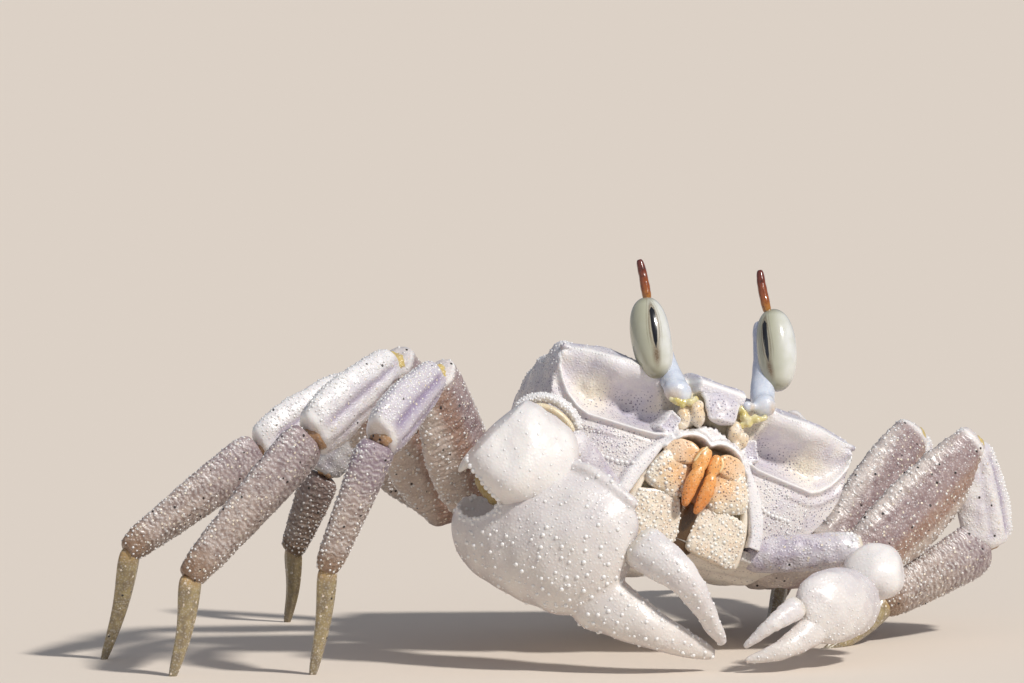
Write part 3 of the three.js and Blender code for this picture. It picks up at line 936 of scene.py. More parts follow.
def cheek_pearls(side):
    row = face_points(spaced(CHEEK_PEARLS, PEARL_STEP), side)
    more = rng.uniform([6.5, -14.0], [15.5, -8.6], (150, 2))
    keep = more[:, 0] > np.interp(-more[:, 1], *zip(*MOUTH_SIDE)) + 2.7
    scattered = face_points(more[keep], side)
    radii = np.concatenate([np.full(len(row), 0.27), rng.uniform(0.08, 0.17, len(scattered))])
    return beads(np.concatenate([row, scattered]), radii, 2, bright=0.9)


def front_lobe():
    """The plate between the eyes, bent down in front, with a raised rim."""
    path = in_stance([[0.0, -0.4, 1.0], [0.0, -3.6, 0.2], [0.12, -5.6, -1.4], [0.5, -6.6, -4.0]])
    form = limb(path, LEFTWARD, lambda t: mix(3.3, 1.95, smooth(t, 0.25, 0.9)), 0.75, 72, 72, 6)
    edge = np.maximum(hump(np.abs(np.cos(form.angle)), 1, 0.12), smooth(form.t, 0.93, 0.99))
    edge = edge * smooth(form.t, 0.35, 0.5)
    form.push(0.1 * edge + 0.06 * ripple(form.at, 1.4, 5))
    # The lobe's upper rear part is painted lilac as painted shade.
    return form.tint(dots=0.8 * smooth(form.t, 0.35, 0.6), bright=0.4 * edge,
                     shade=0.3 * (1 - edge) + 0.4 * (1 - smooth(form.t, 0.3, 0.55)), warm=0.05)


def sternum():
    form = grid_box(BELLY_CUTS)
    u, depth, v = form.at.T
    s = (depth + 1) / 2
    u, down = squared(u, -v, mix(9.0, 5.0, smooth(s, 0, 0.3)))
    v = -down
    seam, bottom = trunk_seam(s) - SEAM, trunk_bottom(s)
    z = mix(bottom, seam, (v + 1) / 2)
    x = u * trunk_half(s, z)
    front = FRONT_Y - face_curve(x) + 1.2 * np.maximum(0, -v) ** 4
    inside = smooth(8.3 - np.abs(x), -0.2, 0.4)
    front = mix(front, MOUTH_BACK, inside * smooth(v, -0.9, -0.5))
    y = mix(front, trunk_rear(u, -v), s)
    form.at = np.stack([x, y, z], 1)
    low = smooth(-v, 0.6, 1.0)
    grooves = hump(((y + 1.2 * np.abs(x) / 8) / BELLY_RING) % 1.0, 0.5, 0.09)
    groin = hump(x, 0, 3.6) * smooth(y, 6, 9)
    swell = 0.1 * ripple(form.at, 3, 8) - 0.4 * grooves * smooth(np.abs(x), 3, 5)
    form.push(low * swell - 0.3 * groin * low)
    # Where the belly's front reaches into the mouth it is painted dark as painted shade.
    form.tint(bright=0.2 * low, shade=0.4 * grooves * low, dots=0.3, warm=0.15 * low,
              dark=0.6 * inside * (1 - smooth(s, 0, 0.05)))
    form.at = in_stance(form.at)
    dress("belly_shell", [form], belly_finish, "belly_shell", "sternum")


def abdomen():
    path = in_stance([[0, 32.1, -7], [0, 28.7, -14.3], [0, 19.5, -19.6], [0, 8, -21.3]])
    form = limb(path, LEFTWARD, lambda t: mix(8.5, 2.4, smooth(t, 0.1, 0.7)), 1.0, 64, 120, 6)
    joints = hump((form.t * FLAP_JOINTS + 0.3) % 1.0, 0.5, 0.05)
    form.push(-0.28 * joints + 0.05 * ripple(form.at, 2, 11))
    form.tint(shade=0.5 * joints, bright=0.2, dots=0.25)
    dress("abdomen_flap", [form], belly_finish, "belly_shell", "abdomen")


# ---- eyes --------------------------------------------------------------------
# Each eye: foot of the stalk, middle and crown of the cornea, root and tip of the
# horn, and how far the dark slit lies beside the front of the cornea at its lower
# and upper end, in turns.
EYES = {
    "right": dict(
        foot=(-4.9, -4.8, -2.2), middle=(-9.6, -2.4, 4.0), crown=(-11.5, -1.5, 8.5),
        root=(-11.4, -1.1, 9.2), tip=(-13.3, -0.5, 13.2), slit=(0.018, 0.042),
    ),
    "left": dict(
        foot=(5.7, -4.8, -0.6), middle=(6.0, -2.4, 7.7), crown=(4.6, -1.7, 12.3),
        root=(3.8, -1.2, 12.9), tip=(2.0, -0.5, 17.0), slit=(-0.06, -0.086),
    ),
}
STALK_SIDE = 1.7
STALK_GRAIN = 0.17
STALK_ROUNDS = 40
CORNEA_HALF = 5.15
CORNEA_RADIUS = 2.48
EYE_FACING = unit([-0.36, -0.93, 0.1])


def eye(side_name, side):
    spots = {key: in_stance(EYES[side_name][key]) for key in ("foot", "middle", "crown", "root", "tip")}
    middle, foot = spots["middle"], spots["foot"]
    axis = unit(spots["crown"] - middle)
    inward = np.array([-side, 0.5, 0.0])
    inward = unit(inward - axis * (inward @ axis))
    spine = middle + inward * STALK_SIDE
    stalk = limb([foot, spine - axis * 3.8, spine, spine + axis * 3.9], inward,
                 lambda t: mix(1.62, 0.95, smooth(t, 0.15, 0.8)),
                 lambda t: mix(1.55, 0.95, smooth(t, 0.15, 0.8)), 44, 90)
    form = fused([stalk] + stalk_base(side_name), STALK_GRAIN, STALK_ROUNDS, 0.6)
    form.push(0.04 * ripple(form.at, 2.5, 2))
    height = (form.at - foot) @ axis
    low = 1 - smooth(height, -0.8, 1.8)
    outer = smooth(form.normals() @ -inward, 0.25, 0.8)
    # The warm tint low on the outer side is painted shade, for the stalk's shaded, translucent flank.
    form.tint(warm=0.7 * low * outer, shade=0.5 * smooth(height, 3.0, 8.0), bright=0.35 * low * (1 - outer))
    dress(f"eye_stem_{side_name}", [form], stalk_finish, "eye_stalk", f"eye_stalk_{side_name}")
    cornea(side_name, middle, axis, inward)
    horn(side_name, spots["root"], spots["tip"], inward)


def stalk_base(side_name):
    """The swollen foot of each stalk."""
    if side_name == "right":
        return [ball(in_stance([-5.35, -4.7, -1.75]), (1.95, 1.5, 1.6), turn=-0.5)]
    knob = ball(in_stance([5.75, -5.0, 0.15]), (1.5, 1.4, 1.5))
    small = ball(in_stance([3.5, -5.6, -0.75]), (0.8, 0.75, 0.8))
    neck = ball(in_stance([4.5, -5.3, -0.5]), (0.6, 0.6, 0.45))
    return [knob, neck, small]


def cornea(side_name, middle, axis, inward):
    bend = -inward * 0.22
    path = [middle - axis * CORNEA_HALF, middle + bend, middle + axis * CORNEA_HALF]
    form = limb(path, inward, CORNEA_RADIUS, CORNEA_RADIUS, 112, 128, 2.3)
    facing = unit(EYE_FACING - axis * (EYE_FACING @ axis))
    aside = np.cross(axis, facing)
    reach = form.at - middle
    around = np.arctan2(reach @ aside, reach @ facing) / math.tau + 0.5
    height = (reach @ axis) / (2 * CORNEA_HALF) + 0.5
    slit_low, slit_high = EYES[side_name]["slit"]
    form.paint[:, 0] = around - mix(slit_low, slit_high, (height - 0.32) / 0.49)
    form.paint[:, 1] = height
    form.paint[:, 2] = smooth(reach @ aside, -0.4, 1.9)
    dress(f"eye_glass_{side_name}", [form], cornea_finish, "cornea", f"eye_{side_name}")


def horn(side_name, root, tip, inward):
    rise = unit(tip - root)
    bend = mix(root, tip, 0.55) + inward * 0.1

    def radius(t):
        return mix(0.66, 0.48, t**0.7)

    form = limb([root - rise * 0.9, bend, tip], inward, radius, radius, 28, 72, 4)
    form.push(0.02 * ripple(form.at, 1.1, 6) * (1 - smooth(form.t, 0.6, 0.9)))
    form.paint[:, 0] = form.t
    dress(f"horn_{side_name}", [form], horn_finish, "horn", f"eye_horn_{side_name}")


# ---- mouth parts and feelers ---------------------------------------------------
def head_parts(side_name, side):
    def at(*points):
        return in_stance([[x * side, y, z] for x, y, z in points])

    mouth_plates(side_name, side, at)
    palp(side_name, at)
    feelers(side_name)


SLAB_CORNER = 4.0


def slab(angle):
    """Cross section of a flat plate with rounded edges."""
    reach = np.abs(np.cos(angle)) ** SLAB_CORNER + np.abs(np.sin(angle)) ** SLAB_CORNER
    return reach ** (-1 / SLAB_CORNER)


def mouth_plates(side_name, side, at):
    upper = limb(at((3.3, -5.5, -9.05), (3.95, -5.6, -12.0), (4.65, -5.3, -14.4)), LEFTWARD,
                 lambda t: mix(2.1, 2.65, smooth(t, 0, 0.6)), 1.15, 72, 72, 4.2, slab)
    outer = np.cos(upper.angle) * side
    front = smooth(-upper.normals()[:, 1], 0.2, 0.6)
    heart = hump(upper.t, 0.36, 0.3) * hump(outer, -0.35, 0.9)
    upper.push((0.04 * ripple(upper.at, 1.5, 31) + 0.07 * ripple(upper.at, 3.0, 32)) * front)
    upper.tint(warm=0.6 * heart, dots=0.35 + 0.65 * hump(upper.t, 0.35, 0.36) * hump(outer, -0.3, 1.0),
               bright=0.4 * smooth(outer, 0.2, 0.9) + 0.25 * smooth(upper.t, 0.75, 0.95))
    spread = front * (0.06 + smooth(outer, 0.0, 0.7) + smooth(upper.t, 0.6, 0.9))
    pearls = granules(upper, spread, 40, 0.55, (0.14, 0.3), 41 + side, 0.45, 2, bright=1.0)
    lower = limb(at((4.9, -4.9, -14.2), (4.4, -4.8, -16.5), (3.95, -4.4, -20.4)), LEFTWARD,
                 lambda t: mix(2.8, 3.5, smooth(t, 0, 0.6)), 1.2, 72, 72, 8, slab)
    lower.push(0.06 * ripple(lower.at, 1.6, 33))
    lower.tint(warm=0.15 + 0.2 * ripple(lower.at, 2.5, 34), dots=0.65,
               bright=0.45 + 0.3 * (1 - smooth(lower.t, 0.0, 0.12)))
    face = smooth(-lower.normals()[:, 1], 0.3, 0.6)
    more = granules(lower, face, 90, 0.5, (0.12, 0.28), 51 + side, 0.45, 2, bright=1.0)
    strip = limb(at((6.3, -5.0, -11.4), (7.4, -4.8, -15.4), (7.6, -4.3, -20.4)), LEFTWARD,
                 (0.3, 0.75), 0.8, 24, 60, 4)
    strip.tint(bright=0.55, warm=0.2)
    name = f"mouth_plate_upper_{side_name}"
    dress(f"mouth_upper_{side_name}", [upper, pearls], mouth_finish, "mouth_plate", name)
    name = f"mouth_plate_lower_{side_name}"
    dress(f"mouth_lower_{side_name}", [lower, more, strip], mouth_finish, "mouth_plate", name)


# The palp's joints, as paths. The right and left palp hang at different places, both swung to the crab's
# right.
PALPS = {
    "right": dict(
        fold=[(-0.8, -7.85, -7.7), (-1.5, -8.0, -8.8), (-2.0, -7.9, -10.0)],
        middle=[(-0.6, -7.5, -7.9), (-1.0, -7.7, -9.5), (-1.3, -7.7, -11.2)],
        finger=[(-0.95, -8.1, -10.3), (-1.55, -8.0, -12.8), (-1.55, -7.5, -15.6)],
    ),
    "left": dict(
        fold=[(1.25, -7.85, -8.4), (1.6, -8.0, -9.3), (1.5, -7.9, -10.3)],
        middle=[(0.85, -7.5, -8.3), (0.75, -7.7, -9.7), (0.55, -7.7, -11.3)],
        finger=[(0.6, -8.2, -10.8), (0.5, -8.2, -13.2), (0.0, -7.6, -16.1)],
    ),
}
PALP_WIDTH = {"right": 1.0, "left": 0.8}


def palp(side_name, at):
    upward = STANCE @ np.array([0, 0, 1.0])
    spots = {key: in_stance(value) for key, value in PALPS[side_name].items()}
    cap = limb(at((5.3, -5.6, -9.7), (3.6, -6.3, -9.0), (1.3, -6.9, -9.0)), upward,
               lambda t: 0.95 + 0.55 * np.sin(math.pi * np.minimum(1, 0.1 + t * 0.8)), 0.62,
               48, 56, 5, slab)
    cap.push(0.05 * ripple(cap.at, 2.0, 35))
    cap.tint(warm=0.35 + 0.4 * cap.t, dots=1.0, bright=0.3 * (1 - cap.t))
    fold = limb(spots["fold"], LEFTWARD, 0.2, 0.22, 16, 24, 4)
    fold.tint(warm=1.0, bright=0.35)
    width = PALP_WIDTH[side_name]
    middle = limb(spots["middle"], LEFTWARD, lambda t: width * (0.8 + 0.2 * np.sin(math.pi * t)), 0.75,
                  36, 44, 4)
    middle.push(0.05 * ripple(middle.at, 1.6, 36))
    middle.tint(warm=0.1, dots=1.0, shade=0.2)
    finger = limb(spots["finger"], LEFTWARD,
                  lambda t: 0.36 + 0.55 * np.sin(math.pi * np.minimum(1, 0.2 + t * 0.74)) ** 0.8,
                  (0.75, 0.5), 40, 64, 3.5)
    finger.push(0.04 * ripple(finger.at, 1.8, 37))
    finger.tint(shade=0.55 * smooth(finger.t, 0.1, 0.9) + 0.2, dots=0.9)
    name = f"palp_{side_name}"
    dress(f"palp_cap_{side_name}", [cap], mouth_finish, "mouth_plate", name)
    parts = [fold, middle, finger]
    if side_name == "right":
        parts += mouth_shade_fill()
    dress(f"palp_orange_{side_name}", parts, palp_finish, "palp", name)


def mouth_shade_fill():
    """Dark fillers behind both palps and between the lower plates, as painted shade in the depths of the
    mouth.
    """
    behind = ball(in_stance([0.0, -5.2, -11.8]), (2.2, 0.9, 3.2), 32, 24)
    below = ball(in_stance([0.0, -4.7, -17.6]), (2.4, 0.8, 3.4), 32, 24)
    return [behind.tint(shade=0.8, dark=0.6), below.tint(dark=0.95)]


# Lumps of flesh at the root of each feeler, and of soft skin under the eye: middle,
# radii and turn.
FEELER_FLESH = {
    "right": [
        ((-2.5, -5.75, -3.9), (0.95, 0.75, 1.6), 0.1), ((-2.45, -5.7, -2.9), (0.6, 0.6, 0.9), 0.1),
        ((-3.75, -5.4, -4.9), (0.62, 0.6, 1.0), 0.2), ((-4.1, -5.4, -4.15), (0.7, 0.55, 0.5), -0.2),
        ((-3.9, -5.4, -5.7), (0.7, 0.55, 0.5), 0.0), ((-3.4, -4.6, -4.4), (1.3, 0.9, 1.6), 0.0),
    ],
    "left": [
        ((2.64, -5.9, -4.4), (0.85, 0.75, 1.3), -0.3), ((4.05, -5.7, -5.0), (0.7, 0.65, 1.0), -0.15),
        ((3.55, -5.6, -5.9), (0.6, 0.55, 0.6), 0.0), ((3.2, -4.7, -4.3), (1.2, 0.8, 1.6), 0.0),
    ],
}
EYE_SKIN = {
    "right": [
        ((-5.5, -5.3, -3.0), (0.85, 0.5, 0.5), -0.5), ((-4.7, -5.5, -3.05), (0.7, 0.5, 0.6), 0.4),
        ((-3.9, -5.5, -2.7), (0.85, 0.5, 0.5), 0.0), ((-3.1, -5.4, -2.35), (0.6, 0.5, 0.7), 0.3),
    ],
    "left": [
        ((3.0, -5.3, -1.5), (0.55, 0.5, 0.8), 0.2), ((3.6, -5.6, -2.2), (0.8, 0.55, 0.6), -0.2),
        ((4.8, -5.7, -2.0), (1.0, 0.5, 0.55), 0.15), ((5.8, -5.6, -1.6), (0.7, 0.45, 0.4), 0.5),
        ((4.0, -5.5, -2.9), (0.85, 0.5, 0.5), 0.2),
    ],
}


def feelers(side_name):
    joints, skins = (
        [ball(in_stance(middle), radii, 28, 20, turn) for middle, radii, turn in lumps[side_name]]
        for lumps in (FEELER_FLESH, EYE_SKIN)
    )
    name = f"feelers_{side_name}"
    flesh = fused(joints, 0.13, 2, 0.4)
    flesh.push(0.07 * ripple(flesh.at, 1.3, 17))
    flesh.tint(warm=0.3 + 0.3 * ripple(flesh.at, 2.4, 18), dots=0.85, bright=0.15, shade=0.15)
    dress(f"feeler_joints_{side_name}", [flesh], feeler_finish, "feeler", name)
    film = fused(skins, 0.12, 4, 0.5)
    film.push(0.13 * ripple(film.at, 1.0, 19))
    film.tint(warm=0.6 + 0.5 * ripple(film.at, 1.6, 20), bright=0.15)
    dress(f"eye_skin_{side_name}", [film], skin_finish, "feeler", name)


# ---- claws -------------------------------------------------------------------
HAND_FACE = unit([-0.35, -0.92, 0.12])
CLAWS = {
    "right": dict(
        size=1.0, hip=(-9, -3, -18.2), elbow=(-22.4, -5.7, 27.7),
        wrist=[(-25.2, -9.3, 31.1), (-32.6, -12.7, 20.7)],
        palm=[(-34.5, -4.5, 17.8), (-25.7, -14.4, 16.3), (-18.4, -20.6, 13.1)],
        thumb=[(-23.0, -17.6, 9.8), (-16.0, -22.4, 5.6), (-7.7, -21.9, 1.9)],
        finger=[(-17.6, -21.0, 16.2), (-12.7, -25.3, 11.6), (-6.9, -23.1, 3.4)],
    ),
    "left": dict(
        size=0.52, hip=(9, -3, -18.2), elbow=(16.3, -10.5, 12.9),
        wrist=[(16.7, -12.8, 13.2), (15.3, -17.2, 7.6)],
        palm=[(15.0, -17.6, 7.4), (8.6, -22.4, 7.6), (2.6, -24.7, 6.6)],
        thumb=[(5.6, -24.2, 5.6), (-0.3, -26.2, 2.9), (-5.0, -25.4, 1.5)],
        finger=[(2.4, -24.9, 8.0), (-1.8, -26.7, 6.1), (-5.2, -25.6, 3.2)],
    ),
}
HAND_GRAIN = 0.26
BITING_TEETH = 12
# On the great claw: the collar round the wrist and the skin inside it, the planes of the
# wrist's toothed edge and of its flattened shoulder, its spine, the skin under it, the
# cup in the heel of the hand and the hand's crest.
COLLAR = [(-27.4, -6.0, 31.5), (-25.2, -6.8, 32.6), (-23.3, -7.5, 32.5),
          (-21.8, -8.2, 31.6), (-20.8, -8.8, 30.3), (-20.3, -9.2, 28.7)]
COLLAR_SKIN = [(-27.5, -7.4, 31.3), (-24.9, -8.3, 31.7), (-23.1, -9.1, 30.9),
               (-21.9, -9.7, 29.6), (-21.4, -10.0, 28.6)]
EDGE_SPOT = np.array([-34.1, -13.7, 22.4])
EDGE_FACING = unit([-0.69, 0.43, -0.625])
SHOULDER_SPOT = np.array([-31.2, -8.7, 29.1])
SHOULDER_FACING = unit([-0.65, 0.33, 0.7])
SHOULDER_FLATNESS = 0.75
SPINE = [(-33.4, -9.8, 26.9), (-35.1, -9.3, 25.2), (-36.0, -9.1, 24.2)]
WRIST_SKIN = [(-32.9, -8.2, 24.1), (-31.9, -9.7, 22.1), (-30.4, -11.5, 20.1)]
HEEL_CUP = np.array([-31.8, -8.4, 21.6])
HEEL_CUP_RADIUS = 4.1
CREST = [(-26.4, -11.1, 23.9), (-24.4, -13.4, 24.9), (-22.2, -15.9, 24.6), (-20.1, -18.0, 23.0),
         (-17.2, -20.4, 20.4)]


def across_hand(spots):
    return unit(np.cross(HAND_FACE, np.subtract(spots[-1], spots[0])))


def claw(side_name):
    spots = CLAWS[side_name]
    size = spots["size"]
    claw_arm(side_name, spots, size)
    claw_wrist(side_name, spots, size)
    claw_hand(side_name, spots, size)
    claw_finger(side_name, spots, size)


def claw_arm(side_name, spots, size):
    elbow = np.array(spots["elbow"], dtype=float)
    hip = in_stance(spots["hip"])
    scale = mix(size, 1, 0.35)
    across = unit(np.cross(HAND_FACE, elbow))
    form = limb([hip, elbow], across, lambda t: mix(3.2, 3.4, t) * scale,
                lambda t: mix(2.6, 3.0, t) * scale, 48, 64, 4)
    form.push(0.1 * ripple(form.at, 2.6, 61))
    end = smooth(form.t, 0.84, 0.95) * (1 - smooth(form.t, 0.94, 0.99))
    form.tint(bright=0.5 * smooth(form.t, 0.6, 0.9), shade=0.3, warm=0.8 * smooth(form.t, 0.93, 0.99),
              dots=0.3)
    parts = [form, granules(form, end, int(46 * scale), 0.5, (0.2, 0.34), 62, 0.3, 2, bright=1.0)]
    if side_name == "right":
        parts += wrist_collar()
    dress(f"claw_arm_shell_{side_name}", parts, wrist_finish, "leg_shell", f"claw_arm_{side_name}")


def wrist_collar():
    """The toothed white lip of the arm round the wrist, and the yellow skin inside it."""
    lip = limb(COLLAR, HAND_FACE, 1.0, 0.62, 32, 90, 5)
    lip.push(0.08 * ripple(lip.at, 1.0, 63))
    lip.tint(bright=0.75, shade=0.1)
    outer = smooth(lip.normals() @ HAND_FACE, -0.1, 0.5)
    teeth = granules(lip, outer, 110, 0.34, (0.12, 0.2), 64, 0.35, 2, bright=1.0)
    skin = limb(COLLAR_SKIN, HAND_FACE, 0.6, 0.42, 20, 60, 5)
    return [lip, teeth, skin.tint(warm=0.8, bright=0.35)]


def claw_wrist(side_name, spots, size):
    path = spots["wrist"]
    form = limb(path, across_hand(path), 7.3 * size, 5.2 * size, 110, 110, 2.4)
    form.push(size * (0.34 * ripple(form.at, 7 * size, 71) + 0.04 * ripple(form.at, 1.8, 72)))
    facing = smooth(form.normals() @ HAND_FACE, 0.2, 0.7)
    parts = [form]
    cut = np.full(len(form.at), -1.0)
    if side_name == "right":
        over = np.maximum((form.at - SHOULDER_SPOT) @ SHOULDER_FACING + 0.3, 0)
        form.at = form.at - SHOULDER_FACING * (over * SHOULDER_FLATNESS)[:, None]
        cut = (form.at - EDGE_SPOT) @ EDGE_FACING
        form.at = form.at - EDGE_FACING * np.maximum(cut, 0)[:, None]
        edge = hump(cut, 0.0, 0.22) * facing
        teeth = granules(form, edge, 16, 0.62, (0.26, 0.4), 74, 0.2, 2, bright=1.0)
        # The skin under the toothed edge is darkened as painted shade.
        skin = limb(WRIST_SKIN, HAND_FACE, 1.5, 1.4, 32, 40, 3)
        skin.push(0.1 * ripple(skin.at, 1.2, 76))
        parts += [teeth, skin.tint(warm=0.9, shade=0.3, dark=0.35), wrist_spine()]
    # Under the toothed edge is painted dark as shade; faces towards the hand's face are painted lighter and
    # faces turned away get painted lilac shade.
    under = smooth(cut, 0.0, 0.3)
    form.tint(bright=(0.3 + 0.3 * facing) * (1 - under), shade=0.25 * (1 - facing), dots=0.03,
              dark=0.2 * under)
    spread = facing * (0.3 + smooth(form.t, 0.4, 0.9)) * (1 - under)
    sizes = (0.1 * size, 0.22 * size)
    parts.append(granules(form, spread, int(80 * size), 0.9 * size + 0.2, sizes, 73, 0.5, 2, bright=0.9))
    dress(f"claw_wrist_shell_{side_name}", parts, claw_finish, "claw_shell", f"claw_wrist_{side_name}")


def wrist_spine():
    form = limb(SPINE, HAND_FACE, (1.1, 0.22), (1.1, 0.22), 24, 32, 4)
    return form.tint(bright=0.6, warm=0.15 * form.t)


def claw_hand(side_name, spots, size):
    great = side_name == "right"
    palm_path, thumb_path = spots["palm"], spots["thumb"]
    palm = limb(palm_path, across_hand(palm_path),
                lambda t: size * (5.2 + 3.6 * np.sin(math.pi * np.minimum(1, t * 0.8)) ** 0.8),
                lambda t: size * (3.4 + 1.6 * np.sin(math.pi * t)), 80, 80, 3.4)
    thumb = limb(thumb_path, across_hand(thumb_path), lambda t: size * mix(4.6, 0.9, t**0.8),
                 lambda t: size * mix(3.0, 0.8, t), 56, 72)
    solids = [palm, thumb]
    cutter = None
    if great:
        solids.append(limb(CREST, HAND_FACE, 1.3, 0.95, 32, 60, 5))
        cutter = ball(HEEL_CUP, np.full(3, HEEL_CUP_RADIUS), 48, 32)
    form = fused(solids, HAND_GRAIN * mix(size, 1, 0.5), 4, 0.5, cutter)
    cup = np.linalg.norm(form.at - HEEL_CUP, axis=1) - HEEL_CUP_RADIUS
    in_cup = (1 - smooth(cup, 0.1, 0.35)) * great
    form.push(size * 0.12 * ripple(form.at, 4.5 * size, 81) * (1 - in_cup))
    facing = smooth(form.normals() @ HAND_FACE, 0.1, 0.7)
    low = smooth(18 * size + 2 - form.at[:, 2], 0, 8)
    lip = hump(cup, 0.45, 0.35) * great
    # Painted light and shade: faces towards the hand's face are painted whiter, faces turned away get
    # painted lilac shade, and the cup, which lies in the wrist's shadow, is painted lighter.
    form.tint(bright=(0.12 + 0.2 * facing) * (1 - in_cup) + 0.6 * lip + 0.6 * in_cup,
              shade=(0.5 * (1 - facing) + 0.25) * (1 - 0.5 * in_cup), dots=0.04, warm=0.15 * low)
    parts = [form]
    weight = (facing + 0.25) * (1 - in_cup)
    small, large = (0.1 * size, 0.2 * size), (0.2 * size, 0.32 * size)
    parts.append(granules(form, weight, int(520 * size), 0.62 * size + 0.2, small, 82, 0.3, 1, bright=0.9))
    parts.append(granules(form, weight * (0.2 + low), int(190 * size), 1.0 * size, large, 84, 0.3, 2,
                          bright=1.0))
    if great:
        parts.append(granules(form, lip, 80, 0.5, (0.22, 0.36), 85, 0.3, 2, bright=1.0))
    parts.append(cutting_teeth(thumb_path, size))
    dress(f"claw_hand_shell_{side_name}", parts, claw_finish, "claw_shell", f"claw_hand_{side_name}")


def cutting_teeth(path, size):
    """A row of blunt teeth along the biting edge of the thumb."""
    t = np.linspace(0.42, 0.9, BITING_TEETH)
    points = course(path, t) + across_hand(path) * (size * mix(4.4, 0.9, t**0.8) * 0.82)[:, None]
    return beads(points, size * mix(0.55, 0.3, t), 2, bright=0.8)


def claw_finger(side_name, spots, size):
    path = spots["finger"]
    form = limb(path, across_hand(path), lambda t: size * mix(3.3, 0.8, t**0.9),
                lambda t: size * mix(2.5, 0.8, t), 48, 72)
    form.push(size * 0.08 * ripple(form.at, 2.6 * size, 91))
    form.tint(bright=0.3, shade=0.2, warm=0.4 * (1 - smooth(form.t, 0.02, 0.12)))
    weight = 1 - smooth(form.t, 0.8, 1)
    sizes = (0.14 * size, 0.28 * size)
    grains = granules(form, weight, int(120 * size), 0.8 * size + 0.1, sizes, 92, 0.35, 1, bright=0.9)
    name = f"claw_finger_{side_name}"
    dress(f"claw_finger_shell_{side_name}", [form, grains], claw_finish, "claw_shell", name)


# ---- walking legs --------------------------------------------------------------
# Each leg: its root, knee, wrist and ankle, and where its toe stands on the floor.
LEGS = {
    "leg2_right": [(-27.5, 4.5, 17.5), (-38, -6.5, 36), (-47.5, -13, 29.5), (-53.5, -10.5, 13.5),
                   (-54.5, -7.5)],
    "leg3_right": [(-28, 13.5, 16.5), (-40, 3, 36.5), (-52.5, -3, 29), (-69, -4.5, 12.5), (-71, -3)],
    "leg4_right": [(-25.5, 24.5, 17), (-40, 17.5, 32.5), (-52.5, 14.5, 25.5), (-70.5, 12.5, 14),
                   (-72.5, 17)],
    "leg5_right": [(-19, 27.5, 19), (-31, 40.5, 26.5), (-34.5, 41, 19.5), (-37.5, 44, 9.5),
                   (-37.5, 46.5)],
    "leg2_left": [(17.5, -3, 9.5), (36, 2.5, 23.5), (38.5, 3.5, 11.5), (23.5, -0.5, 5), (13.5, -4)],
    "leg3_left": [(18.5, 8, 9), (34.5, 19, 23), (36.5, 20.5, 11), (24, 12, 4), (15.5, 6.5)],
    "leg4_left": [(15.5, 18, 9), (25.5, 35.5, 23), (27, 38, 11), (19.5, 25, 4.5), (14.5, 17)],
    "leg5_left": [(10, 27, 10), (14.5, 43.5, 18), (16, 47.5, 11.5), (20.5, 55.5, 6), (23, 60)],
}
HIPS = {2: (12, 3, -17.2), 3: (13, 9, -16.4), 4: (12.2, 15.5, -14.9), 5: (9.6, 21.5, -12.9)}
LEG_SIZE = {2: 1.06, 3: 1.14, 4: 0.96, 5: 0.74}
# How much each pair of legs is painted darker as shade: the hind pair stands in shadow.
LEG_SHADE = {2: 0.0, 3: 0.0, 4: 0.0, 5: 0.38}
LEG_LILAC = {"leg2_right": 0.55}
JOINT_REACH = 0.7
SHIN_START = 0.9
TOE_OVERRUN = 0.6
WRINKLE_LENGTH = 0.9
FOLD_LENGTH = 0.72


def beyond(start, end, extra):
    return end + unit(end - start) * extra


def keel(angle, sharp=0.12, edge=0.1):
    """Cross section with a keel along its upper and lower edges."""
    c = np.abs(np.cos(angle))
    return 1 - sharp * (1 - c) * c * 2 + edge * c**14


def walking_leg(name, joints):
    """A leg. across points to the upper side of each of its parts."""
    number = int(name[3])
    side = 1 if name.endswith("left") else -1
    # The leg's dark is painted shade over all of it.
    leg = SimpleNamespace(name=name, side=side, size=LEG_SIZE[number], dark=LEG_SHADE[number],
                          seed=100 + 10 * number + side)
    hip = in_stance([HIPS[number][0] * side, *HIPS[number][1:]])
    base, knee, wrist, ankle = (np.array(p, dtype=float) for p in joints[:4])
    toe = np.array([*joints[4], -TOE_OVERRUN])
    fold = unit(np.cross(knee - base, ankle - knee))

    def upper_side(start, end):
        return unit(np.cross(end - start, fold))

    leg_thigh(leg, hip, base, knee, fold, upper_side(base, knee))
    leg_wrist(leg, knee, wrist, upper_side(knee, wrist))
    leg_shin(leg, wrist, ankle, upper_side(wrist, ankle))
    leg_toe(leg, ankle, toe, upper_side(ankle, toe))


